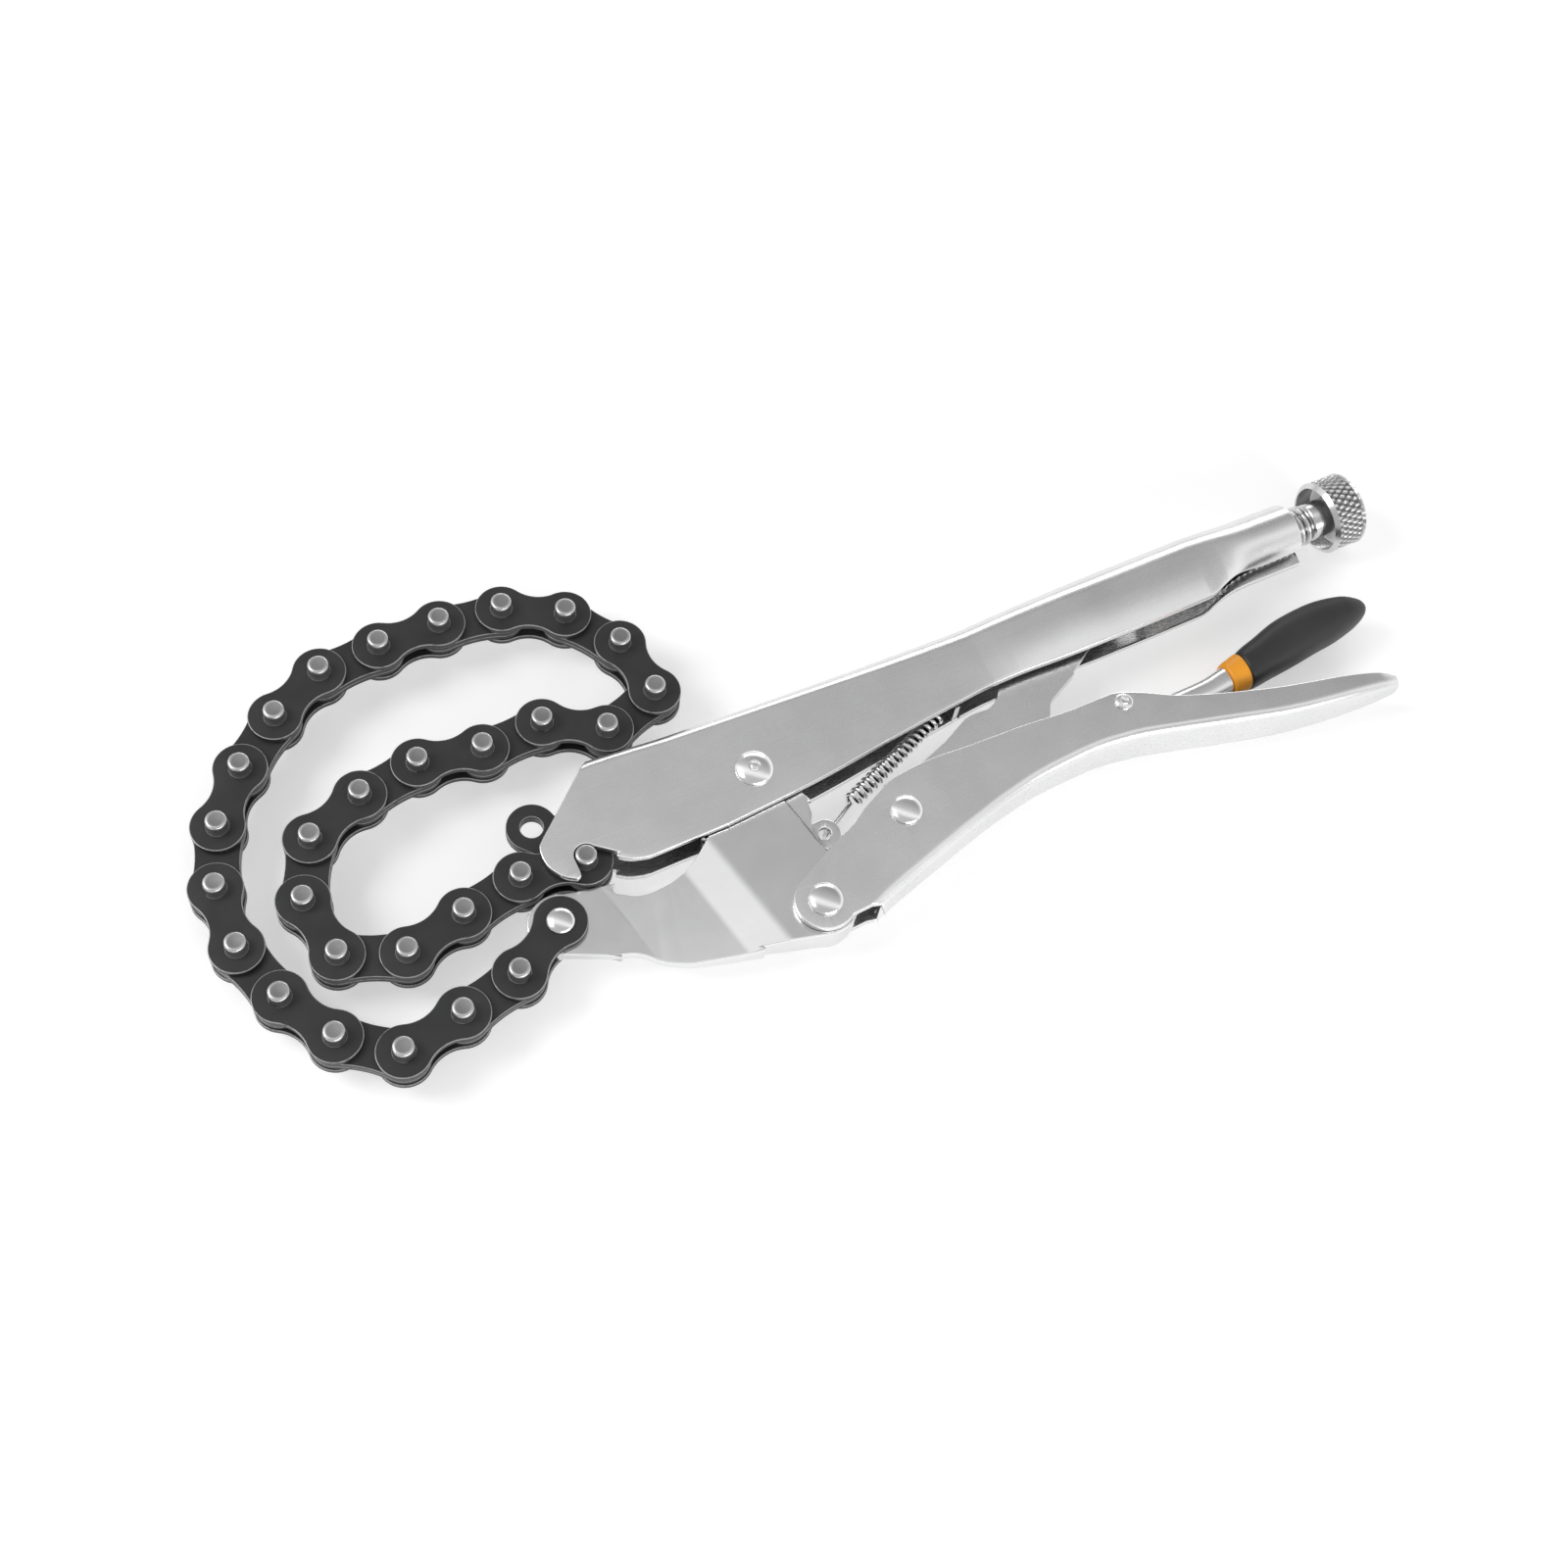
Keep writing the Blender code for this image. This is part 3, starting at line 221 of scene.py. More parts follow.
def edged(mesh, width, angle=34.0):
    """The mesh with its sharp edges rounded. The corner attribute edge marks the rounded faces."""
    work = bmesh.new()
    work.from_mesh(mesh)
    bmesh.ops.remove_doubles(work, verts=work.verts, dist=WELD)
    bmesh.ops.dissolve_limit(work, angle_limit=radians(FLAT), verts=work.verts, edges=work.edges)
    bends = [(e, degrees(e.calc_face_angle(0.0))) for e in work.edges if len(e.link_faces) == 2]
    sharp = [e for e, bend in bends if angle < bend < FOLDED_BACK
             and min(face.calc_area() for face in e.link_faces) > SLIVER * e.calc_length()]
    layer = work.loops.layers.float.new("edge")
    strips = bmesh.ops.bevel(work, geom=sharp, offset=width, offset_type="OFFSET", segments=2,
                             profile=0.5, affect="EDGES", clamp_overlap=False, loop_slide=True)
    for face in strips["faces"]:
        for loop in face.loops:
            loop[layer] = 1.0
    bmesh.ops.remove_doubles(work, verts=work.verts, dist=0.1 * WELD)
    split_large_faces(work)
    made = bpy.data.meshes.new(mesh.name)
    work.to_mesh(made)
    work.free()
    item = helper("shading", smooth(made, 40.0))
    weigh = item.modifiers.new("weigh", "WEIGHTED_NORMAL")
    weigh.keep_sharp = True
    weigh.weight = 80
    return evaluated_mesh(item)


def smooth(mesh, angle):
    """Smooth shading, broken where the mesh bends by more than an angle in degrees."""
    mesh.shade_smooth()
    mesh.set_sharp_from_angle(angle=radians(angle))
    return mesh


def eased_rows(rows, step):
    """A table of rows filled in along its first column with smooth curves through every row."""
    data = np.array(rows, float)
    x = data[:, 0]
    count = max(2, int(round((x[-1] - x[0]) / step)) + 1)
    wanted = np.unique(np.concatenate([np.linspace(x[0], x[-1], count), x]))
    columns = [wanted]
    for y in data[:, 1:].T:
        slope = np.diff(y) / np.diff(x)
        tangent = np.zeros_like(y)
        tangent[0], tangent[-1] = slope[0], slope[-1]
        for i in range(1, len(y) - 1):
            if slope[i - 1] * slope[i] > 0:
                a, b = x[i] - x[i - 1], x[i + 1] - x[i]
                tangent[i] = 3 * (a + b) / ((2 * b + a) / slope[i - 1] + (b + 2 * a) / slope[i])
        place = np.clip(np.searchsorted(x, wanted, side="right") - 1, 0, len(x) - 2)
        width = x[place + 1] - x[place]
        t = (wanted - x[place]) / width
        columns.append((2 * t ** 3 - 3 * t ** 2 + 1) * y[place]
                       + (t ** 3 - 2 * t ** 2 + t) * width * tangent[place]
                       + (3 * t ** 2 - 2 * t ** 3) * y[place + 1]
                       + (t ** 3 - t ** 2) * width * tangent[place + 1])
    return [tuple(row) for row in np.array(columns).T]


def along(heading):
    """The turn that lays a Z axis flat, pointing at a heading in degrees."""
    return Matrix.Rotation(radians(heading), 4, "Z") @ Matrix.Rotation(radians(90.0), 4, "Y")


# Finishes

def wire_up(tree, source, target):
    """Links a socket to the target socket, or gives the target a plain value."""
    if isinstance(source, bpy.types.NodeSocket):
        tree.links.new(source, target)
    elif source is not None:
        target.default_value = source


def node(tree, kind, inputs=None, **settings):
    """A node with its settings, and with inputs by label or number as values or sockets."""
    made = tree.nodes.new(kind)
    for name, value in settings.items():
        setattr(made, name, value)
    for label, value in (inputs or {}).items():
        wire_up(tree, value, made.inputs[label])
    return made


def math_node(tree, operation, a, b=None, clamp=False):
    return node(tree, "ShaderNodeMath", {0: a, 1: b}, operation=operation, use_clamp=clamp).outputs[0]


def noise(tree, vector, scale, detail=3.0, rough=0.55):
    return node(tree, "ShaderNodeTexNoise", {
        "Detail": detail, "Roughness": rough, "Vector": vector, "Scale": scale}).outputs["Fac"]


def ranged(tree, value, low, high, start=0.3, end=0.7):
    """A value between start and end, moved to lie between low and high."""
    return node(tree, "ShaderNodeMapRange", {
        "From Min": start, "From Max": end, "To Min": low, "To Max": high, "Value": value}).outputs[0]


def mixed(tree, share, low, high):
    """A colour between two, by a share that changes over the surface."""
    low, high = ((*c, 1.0) if isinstance(c, tuple) else c for c in (low, high))
    return node(tree, "ShaderNodeMix", {"Factor": share, 6: low, 7: high}, data_type="RGBA").outputs[2]


def tree_group(name, kind, inputs, outputs):
    """A tree with its sockets. It returns the tree, what it is given and its end."""
    tree = bpy.data.node_groups.new(name, kind + "NodeTree")
    for way, sockets in (("INPUT", inputs), ("OUTPUT", outputs)):
        for label, socket in sockets:
            tree.interface.new_socket(name=label, in_out=way, socket_type="NodeSocket" + socket)
    return tree, node(tree, "NodeGroupInput").outputs, node(tree, "NodeGroupOutput").inputs


def shader_group(name, inputs, outputs):
    inputs, outputs = ([(label, "Float") for label in labels] for labels in (inputs, outputs))
    tree, given, out = tree_group(name, "Shader", inputs, outputs)
    return tree, given, out, node(tree, "ShaderNodeTexCoord").outputs["Object"]


def make_grain_group():
    """Fine lines left by rolling and polishing, drawn out along X, and softer clouds over them."""
    tree, given, out, place = shader_group(
        "rolled_grain", ["Lines Across", "Lines Along", "Clouds"], ["Lines", "Clouds"])
    split = node(tree, "ShaderNodeSeparateXYZ", {0: place}).outputs
    joined = node(tree, "ShaderNodeCombineXYZ", {
        axis: math_node(tree, "MULTIPLY", split[axis], given[scale])
        for axis, scale in (("X", "Lines Along"), ("Y", "Lines Across"), ("Z", "Lines Across"))})
    wire_up(tree, noise(tree, joined.outputs[0], 1.0, 2.0, 0.6), out["Lines"])
    wire_up(tree, noise(tree, place, given["Clouds"], 4.0, 0.6), out["Clouds"])
    return tree


def make_wear_group():
    """How bare an edge is rubbed: the rounded edges, broken up by noise."""
    tree, given, out, place = shader_group("edge_wear", ["Patches", "Reach"], ["Bare"])
    edge = node(tree, "ShaderNodeAttribute", attribute_name="edge").outputs["Fac"]
    lifted = math_node(tree, "ADD", noise(tree, place, given["Patches"], 3.0, 0.6), given["Reach"])
    sharp = math_node(tree, "MULTIPLY", math_node(tree, "SUBTRACT", lifted, 0.5), 3.0, clamp=True)
    wire_up(tree, math_node(tree, "MULTIPLY", edge, sharp), out["Bare"])
    return tree


def make_stipple_group():
    """The fine even pebbling of dipped or moulded vinyl."""
    tree, given, out, place = shader_group("vinyl_stipple", ["Pebbles", "Clouds"], ["Height", "Clouds"])
    wire_up(tree, noise(tree, place, given["Pebbles"], 2.0, 0.5), out["Height"])
    wire_up(tree, noise(tree, place, given["Clouds"], 3.0, 0.5), out["Clouds"])
    return tree


GRAIN = make_grain_group()
WEAR = make_wear_group()
STIPPLE = make_stipple_group()


def new_material(name, metallic):
    made = bpy.data.materials.new(name)
    made.use_nodes = True
    shader = made.node_tree.nodes["Principled BSDF"]
    shader.inputs["Metallic"].default_value = metallic
    return made, made.node_tree, shader


def coated(tree, shader, colour, rough, height, strength, distance):
    """Feeds the shader its colour, its gloss, and its normal from a height."""
    bump = node(tree, "ShaderNodeBump", {"Strength": strength, "Distance": distance, "Height": height})
    for source, label in ((colour, "Base Color"), (rough, "Roughness"), (bump.outputs["Normal"], "Normal")):
        wire_up(tree, source, shader.inputs[label])


def steel(name, dark, light, gloss, relief, across=3000.0, lines=120.0, bare=None, metallic=1.0,
          reach=0.5, painted_shade=None):
    """Bare or plated metal: drawn-out grain, clouded gloss, brighter rubbed edges and painted shade in
    grooves.
    """
    made, tree, shader = new_material(name, metallic)
    grain = node(tree, "ShaderNodeGroup", {
        "Lines Across": across, "Lines Along": lines, "Clouds": 70.0}, node_tree=GRAIN).outputs
    colour = mixed(tree, ranged(tree, grain["Clouds"], 0.0, 1.0), dark, light)
    halves = [math_node(tree, "MULTIPLY", grain[label], 0.5) for label in ("Lines", "Clouds")]
    rough = ranged(tree, math_node(tree, "ADD", *halves), *gloss)
    if bare:
        wear = node(tree, "ShaderNodeGroup", {
            "Patches": 500.0, "Reach": reach}, node_tree=WEAR).outputs["Bare"]
        colour = mixed(tree, wear, colour, bare)
        rough = math_node(tree, "SUBTRACT", rough, math_node(tree, "MULTIPLY", wear, 0.08))
    # Painted shade: where the groove attribute marks a hollow, the colour darkens towards the painted_shade
    # colour.
    if painted_shade:
        groove = node(tree, "ShaderNodeAttribute", attribute_name="groove").outputs["Fac"]
        colour = mixed(tree, ranged(tree, groove, 0.0, 1.0, 0.45, 1.0), colour, painted_shade)
    coated(tree, shader, colour, rough, grain["Lines"], relief, 0.02 * MM)
    return made


def vinyl(name, dark, light, gloss, relief):
    """Dipped vinyl: a soft sheen over fine pebbles."""
    made, tree, shader = new_material(name, 0.0)
    shader.inputs["Specular IOR Level"].default_value = 0.45
    stipple = node(tree, "ShaderNodeGroup", {"Pebbles": 2500.0, "Clouds": 90.0}, node_tree=STIPPLE).outputs
    colour = mixed(tree, ranged(tree, stipple["Clouds"], 0.0, 1.0), dark, light)
    rough = ranged(tree, stipple["Clouds"], *gloss)
    coated(tree, shader, colour, rough, stipple["Height"], relief, 0.05 * MM)
    return made


PLATED = steel("satin_plated_steel", (0.74, 0.74, 0.745), (0.79, 0.79, 0.792), (0.25, 0.30), 0.03,
               bare=(0.9, 0.9, 0.9), reach=0.9)
POLISHED = steel("polished_jaw_steel", (0.72, 0.72, 0.725), (0.78, 0.78, 0.782), (0.16, 0.23), 0.04,
                 bare=(0.9, 0.9, 0.9), reach=0.9)
CHROME = steel("bright_rivet_steel", (0.78, 0.78, 0.785), (0.86, 0.86, 0.86), (0.17, 0.23), 0.02,
               across=1500.0, lines=1500.0)
# Turned screw steel: thread roots and knurl valleys get painted shade.
SCREW_STEEL = steel("turned_screw_steel", (0.60, 0.60, 0.60), (0.70, 0.70, 0.70), (0.2, 0.3), 0.12,
                    across=60.0, lines=4500.0, painted_shade=(0.12, 0.12, 0.12))
OXIDE = steel("black_oxide_plate", (0.026, 0.0262, 0.027), (0.040, 0.0402, 0.041), (0.38, 0.5), 0.10,
              across=1800.0, lines=1500.0, bare=(0.34, 0.34, 0.34), metallic=0.35, reach=0.35)
PIN_STEEL = steel("chain_pin_steel", (0.24, 0.24, 0.242), (0.31, 0.31, 0.312), (0.3, 0.42), 0.12,
                  across=1800.0, lines=1800.0, bare=(0.56, 0.56, 0.56), metallic=0.85, reach=0.6)
# Spring wire: the coil's inner side gets painted shade, nearly black.
WIRE = steel("spring_wire_steel", (0.78, 0.78, 0.785), (0.86, 0.86, 0.862), (0.2, 0.3), 0.04,
             across=2500.0, lines=2500.0, painted_shade=(0.03, 0.03, 0.03))
ORANGE = vinyl("orange_vinyl", (0.93, 0.36, 0.018), (1.0, 0.43, 0.03), (0.38, 0.48), 0.12)
BLACK = vinyl("black_vinyl", (0.019, 0.019, 0.020), (0.027, 0.027, 0.028), (0.42, 0.55), 0.25)

# The tool's drawing has the jaw rivet at zero. This lays it at its place in the frame
TOOL = Matrix.Translation(mm(-24.9, -14.85, 9.8))


def marked(mesh, name, share):
    """A point attribute with a share between 0 and 1, made from each point's place."""
    layer = mesh.attributes.new(name, "FLOAT", "POINT")
    for vertex in mesh.vertices:
        layer.data[vertex.index].value = min(max(share(vertex.co), 0.0), 1.0)


def finished(name, mesh, material, body, *nodes, place=TOOL):
    """A finished piece at the origin, riding on its body and standing for its nodes."""
    if place:
        mesh.transform(place)
    if material:
        mesh.materials.clear()
        mesh.materials.append(material)
    item = helper(name, mesh)
    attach(item, body)
    if nodes:
        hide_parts(*nodes)
    return item


# Fixed handle: folded sheet, open at the bottom, rolled to a tube at the rear

PIN_GAP = 0.25 * MM
SHEET = 1.7 * MM
HANDLE_HALF_FRONT = 6.1 * MM
HANDLE_FRONT_X = -36.0 * MM
HOOK_SEAT = mm(-46.35, -4.3)
HOOK_SEAT_RADIUS = 2.85 * MM
HOOK_NOSE_RADIUS = 9.0 * MM
HOOK_NOSE_CENTRE = mm(-47, -1)
TUBE_AXIS_Y = 8.6 * MM
SEAM_ANGLE = 10.0
SEAM_LIP = 4.0 * MM
SEAM_LIP_EDGE = -0.5 * MM
HANDLE_STEPS = (12, 12)
RING_STEP = 2.5 * MM
CHEEK_WIDEST = 0.75
# Each row, in millimetres but for the roll: x, lower edge, back, half width, roll from a channel (0)
# to a tube (1), radius of the back's corners, and how far the cheek's lower half draws in
HANDLE_ROWS = (
    (-58, -14, 19.6, 6.1, 0, 3, 0),
    (-36, -13, 19.2, 6.1, 0, 3, 0),
    (-14, -11, 17.6, 6.1, 0, 3, 0),
    (12, -9.1, 16.7, 6.1, 0, 3.6, 0),
    (34, -6.4, 16.2, 6.1, 0, 4.4, 0),
    (52, -4.3, 15.9, 6.1, 0, 4.9, 0.2),
    (66, -2.9, 15.7, 6.3, 0, 5.3, 0.8),
    (74, -2.7, 16, 6.7, 0, 5.6, 1.3),
    (86, -3.1, 16.3, 7.2, 0, 5.9, 1.8),
    (102, -3.3, 16.5, 7.6, 0, 6.2, 2),
    (131, -3.1, 16.6, 7.6, 0, 6.2, 2),
    (138, -1.3, 16.6, 7.6, 0.25, 6.2, 1.5),
    (146, 0.6, 16.5, 7.6, 0.8, 6, 0.3),
    (152, 0.8, 16.4, 7.6, 1, 6, 0),
    (163.4, 0.8, 16.4, 7.45, 1, 6, 0),
)


def channel_section(low, back, half, sheet, corner, steps, draw=0.0):
    """The outer and inner lines of a folded channel, from one edge round the back to the other."""
    leg_steps, corner_steps = steps
    middle = back - corner
    leg = [low + (middle - low) * i / leg_steps for i in range(leg_steps)]
    widest = low + (middle - low) * CHEEK_WIDEST
    pull = draw / max(widest - low, 0.1 * MM) ** 2
    lines = []
    for side, radius in ((half, corner), (half - sheet, corner - sheet)):
        line = [(y, side - pull * max(widest - y, 0.0) ** 2) for y in leg]
        line += arc((middle, side - radius), radius, 90.0, 0.0, corner_steps)
        lines.append(line + [(y, -z) for y, z in reversed(line)])
    return lines


def seamed_arc(radius, lip, count):
    """The rolled sheet from its near edge round to the far edge, which turns out as a lip."""
    last = -180.0 + degrees(asin(lip / radius))
    points = arc((TUBE_AXIS_Y, 0.0), radius, 180.0 - SEAM_ANGLE, last, count - 2)
    return points + [(SEAM_LIP_EDGE, -lip)]


def handle_ring(x, low, back, half, roll, corner, draw):
    outer, inner = channel_section(low, back, half, SHEET, corner, HANDLE_STEPS, draw)
    rolled = seamed_arc(half, SEAM_LIP, len(outer))
    rolled += reversed(seamed_arc(half - SHEET, SEAM_LIP - SHEET, len(inner)))
    pairs = zip(outer + inner[::-1], rolled)
    return [(x, a + (c - a) * roll, b + (d - b) * roll) for (a, b), (c, d) in pairs]


def cut_hole(centre, radius, reach=12 * MM, sides=48):
    """A Boolean step that drills right through."""
    return "DIFFERENCE", flat_mesh("hole", [circle(centre, radius, sides)], reach)


def build_fixed_handle():
    rows = [(*mm(*row[:4]), row[4], *mm(*row[5:])) for row in HANDLE_ROWS]
    shell = loft_mesh("handle_shell", [handle_ring(*row) for row in eased_rows(rows, RING_STEP)])
    nose = arc(HOOK_NOSE_CENTRE, HOOK_NOSE_RADIUS, 157.0, 247.0, 24)
    tip = in_mm((-49.5, -8.9), (-49.3, -7.6))
    seat = arc(HOOK_SEAT, HOOK_SEAT_RADIUS, 182.0, 28.0, 18)
    mouth = rounded(in_mm((-41.6, -6.4, 3), (-37.6, -9.6, 8), (-33, -10.9, 6), (-12, -10.8)))
    tail = in_mm((-8, -30), (-70, -30), (-70, 30))
    around = [(HANDLE_FRONT_X, 19.0 * MM)] + nose + tip + seat + mouth + tail
    around.append((HANDLE_FRONT_X + 5.0 * MM, 30.0 * MM))
    front_cut = flat_mesh("front_cut", [around], 12 * MM)
    lug_at = spring_point(COIL_TURNS * COIL_PITCH + SPRING_TAIL - 2.2 * MM)
    corners = in_mm((-0.75, -3), (0.75, -3), (0.75, 3), (-0.75, 3))
    lug = flat_mesh("lug", [[(lug_at[0] + x, lug_at[1] + y) for x, y in corners]],
                    1.6 * MM, -HANDLE_HALF_FRONT + SHEET / 2)
    eye = turned_mesh("eye", in_mm((0, 4), (0.75, 4), (0.75, -4), (0, -4)), 16)
    eye.transform(Matrix.Translation((*lug_at, 0.0)) @ along(SPRING_DIRECTION))
    mesh = combined("fixed_handle", shell, [
        ("DIFFERENCE", front_cut), cut_hole((0.0, 0.0), JAW_RIVET[0] + PIN_GAP),
        ("UNION", lug), ("DIFFERENCE", eye)])
    finished("handle_sheet", edged(mesh, 0.32 * MM), PLATED, "fixed_handle", "fixed_handle")


# Return spring between the jaw's ear and the handle's lug

WIRE_RADIUS = 0.48 * MM
COIL_RADIUS = 1.75 * MM
COIL_TURNS = 17
COIL_PITCH = 1.95 * MM
COIL_STEPS = 20
SPRING_EYE = mm(8.9, -21.1)
SPRING_COIL_START = mm(19.6, -15.2)
SPRING_DIRECTION = 22.0
SPRING_TAIL = 8.0 * MM


def spring_point(distance):
    angle, (x, y) = radians(SPRING_DIRECTION), SPRING_COIL_START
    return x + distance * cos(angle), y + distance * sin(angle)


MESH = ("Geometry", "Geometry")


def grown(tree, kind, inputs, **settings):
    """The first output of a new node in a geometry tree."""
    return node(tree, "GeometryNode" + kind, inputs, **settings).outputs[0]


def run_tree(name, tree, values, source=None):
    """The plain mesh that a geometry tree makes with these input values."""
    item = helper(name, source or bpy.data.meshes.new(name))
    change = item.modifiers.new("tree", "NODES")
    change.node_group = tree
    for entry in tree.interface.items_tree:
        if entry.in_out == "INPUT" and entry.name in values:
            change[entry.identifier] = values[entry.name]
    mesh = evaluated_mesh(item)
    mesh.name = name
    return mesh


def make_wire_tree():
    """Round wire along the object's own curve."""
    tree, given, out = tree_group("wire_along_route", "Geometry", [
        MESH, ("Wire Radius", "Float"), ("Sides", "Int"), ("Finish", "Material")], [MESH])
    section = grown(tree, "CurvePrimitiveCircle", {
        "Resolution": given["Sides"], "Radius": given["Wire Radius"]})
    tube = grown(tree, "CurveToMesh", {
        "Curve": given["Geometry"], "Profile Curve": section, "Fill Caps": True})
    real = grown(tree, "RealizeInstances", {"Geometry": grown(tree, "SetShadeSmooth", {"Geometry": tube})})
    made = grown(tree, "SetMaterial", {"Geometry": real, "Material": given["Finish"]})
    wire_up(tree, made, out[0])
    return tree


def build_spring():
    heading = radians(SPRING_DIRECTION)
    side = Vector((-sin(heading), cos(heading), 0.0))
    up = Vector((0.0, 0.0, 1.0))
    ahead = Vector((cos(heading), sin(heading), 0.0))
    start = Vector((*SPRING_COIL_START, 0.0))
    eye = Vector((*SPRING_EYE, 0.0))
    level = -0.35 * MM
    back = (eye - start).normalized()
    route = [eye + up * 3.6 * MM, eye + up * 2.6 * MM, eye + up * 1.4 * MM, eye + up * (level + 0.9 * MM),
             eye + up * (level + 0.35 * MM) - back * 0.15 * MM, eye + up * level - back * 0.7 * MM,
             start + back * 1.4 * MM + up * level]
    for i in range(COIL_TURNS * COIL_STEPS + 1):
        angle = 2 * pi * i / COIL_STEPS
        reach = ahead * (COIL_PITCH * i / COIL_STEPS)
        route.append(start + reach + (side * sin(angle) - up * cos(angle)) * COIL_RADIUS)
    finish = start + ahead * (COIL_TURNS * COIL_PITCH)
    route += [finish + ahead * 0.9 * MM - up * COIL_RADIUS * 0.5, finish + ahead * 1.6 * MM - up * 0.2 * MM,
              finish + ahead * 2.4 * MM, finish + ahead * SPRING_TAIL]
    sizes = {"Wire Radius": WIRE_RADIUS, "Sides": 12, "Finish": WIRE}
    curve = poly_curve("spring_route", "3D", [route], False)
    mesh = run_tree("spring_wire", make_wire_tree(), sizes, curve)

    # Marks the coil's inner side for painted shade, so the far turns seen between the near ones look dark
    # as if in shadow.
    def inward(at):
        out = at - start
        reach = out.dot(ahead)
        depth = COIL_RADIUS + 0.1 * MM - (out - ahead * reach).length
        return depth / (0.3 * MM) if reach > 0.0 else 0.0

    marked(mesh, "groove", inward)
    mesh.transform(TOOL)
    item = helper("spring_wire", mesh)
    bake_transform(item)
    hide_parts("return_spring")


# Lower jaw: one sheet folded along its bottom and pinched to a tongue

CHAIN_START = mm(-58.2, -16.1)
LEVER_PIVOT = mm(0, -37.8)
JAW_SHEET = 1.8 * MM
JAW_HALF = 3.8 * MM
JAW_TONGUE_HALF = 1.4 * MM
JAW_TONGUE_RADIUS = 7.8 * MM
JAW_RIDGE_HALF = 2.3 * MM
JAW_VALLEY_X = -41.8 * MM
JAW_RIDGE_X = -23.6 * MM
JAW_FLAT_X = -14.2 * MM
JAW_BEND_LEAN = 11.0
JAW_MIDDLE_Y = -28.0 * MM


def flare_mesh(name, stations):
    """A prism whose half widths follow the stations along the jaw, its bends leaning with the tool."""
    plan = [(x, -half) for x, half in stations] + [(x, half) for x, half in reversed(stations)]
    mesh = flat_mesh(name, [plan], 60 * MM)
    lean = Matrix.Rotation(radians(JAW_BEND_LEAN), 4, "Z")
    upright = Matrix.Rotation(radians(90.0), 4, "X")
    mesh.transform(Matrix.Translation((0.0, JAW_MIDDLE_Y, 0.0)) @ lean @ upright)
    return mesh


def eased_stations(stations, reach, steps=6):
    """Stations whose bends are turned into short curves."""
    points = rounded([(x, half, reach) for x, half in stations], steps, 0.45)
    keep = [p for p in points if stations[0][0] < p[0] < stations[-1][0]]
    return [stations[0]] + keep + [stations[-1]]


def build_lower_jaw():
    outline = arc(CHAIN_START, JAW_TONGUE_RADIUS, 250.0, 62.0, 32)
    outline += rounded(in_mm((-46, -12.4, 6), (-39.6, -16.8, 9), (-36, -17.8, 9), (-30, -17.4, 12),
                             (-24.5, -15.8, 14), (-19.5, -12.4, 14), (-14.5, -8, 4)), 6)
    outline += arc((0.0, 0.0), 8.0 * MM, 150.0, -22.0, 24)
    outline += rounded(in_mm((9.2, -9, 4), (8.2, -15.6, 3), (6.3, -18.6, 3), (6, -23.6, 3),
                             (8.6, -26.5, 4), (9.6, -33, 4)), 4)
    outline += arc(LEVER_PIVOT, 8.1 * MM, 0.0, -100.0, 14)
    outline += rounded(in_mm((-12, -43.6, 40), (-24, -41, 40), (-35, -38, 16), (-40.4, -35, 12),
                             (-44.6, -30.4, 10), (-52, -28, 10)), 6)
    blank = flat_mesh("jaw_blank", [outline], 12 * MM)
    envelope = flare_mesh("envelope", eased_stations(
        [(-72 * MM, JAW_TONGUE_HALF), (JAW_VALLEY_X, JAW_TONGUE_HALF), (JAW_RIDGE_X, JAW_RIDGE_HALF),
         (JAW_FLAT_X, JAW_HALF), (24 * MM, JAW_HALF)], 14 * MM))
    inside = JAW_HALF - JAW_SHEET
    hollow = flare_mesh("hollow", [
        (JAW_RIDGE_X - 3 * MM, 0.15 * MM), (JAW_RIDGE_X, JAW_RIDGE_HALF - JAW_SHEET), (JAW_FLAT_X, inside),
        (28 * MM, inside)])
    fold = in_mm((-40, 20), (-40, -33.4), (-35.5, -36.3), (-24, -39.5), (-12, -42), (3, -43.8),
                 (30, -43.8), (30, 20))
    open_side = flat_mesh("open_side", [fold], 12 * MM)
    cavity = combined("cavity", hollow, [("INTERSECT", open_side)])
    ear_outline = in_mm((4, -17.6)) + arc(SPRING_EYE, 3.9 * MM, 75.0, -85.0, 16) + in_mm((4, -25.4))
    ear = flat_mesh("ear", [ear_outline], inside + 0.4 * MM, 0.8 * MM)
    mesh = combined("lower_jaw", blank, [
        ("INTERSECT", envelope), ("DIFFERENCE", cavity), ("UNION", ear),
        cut_hole(SPRING_EYE, 1.5 * MM, sides=32), cut_hole((0.0, 0.0), JAW_RIVET[0] + PIN_GAP),
        cut_hole(LEVER_PIVOT, LEVER_RIVET[0] + PIN_GAP), cut_hole(CHAIN_START, CHAIN_RIVET[0] + PIN_GAP)])
    finished("jaw_sheet", edged(mesh, 0.35 * MM), POLISHED, "lower_jaw", "lower_jaw")


# Lever handle: folded sheet, open at the top

LINK_PIVOT = mm(28.6, -25.1)
RELEASE_PIVOT = mm(92.7, -21.2)
LEVER_SHEET = 1.8 * MM
LEVER_HALF_FRONT = 5.9 * MM
LEVER_HALF_REAR = 6.9 * MM
LEVER_NOSE_RADIUS = 7.5 * MM
LEVER_CORNER = 2.6 * MM
LEVER_STEPS = (3, 8)
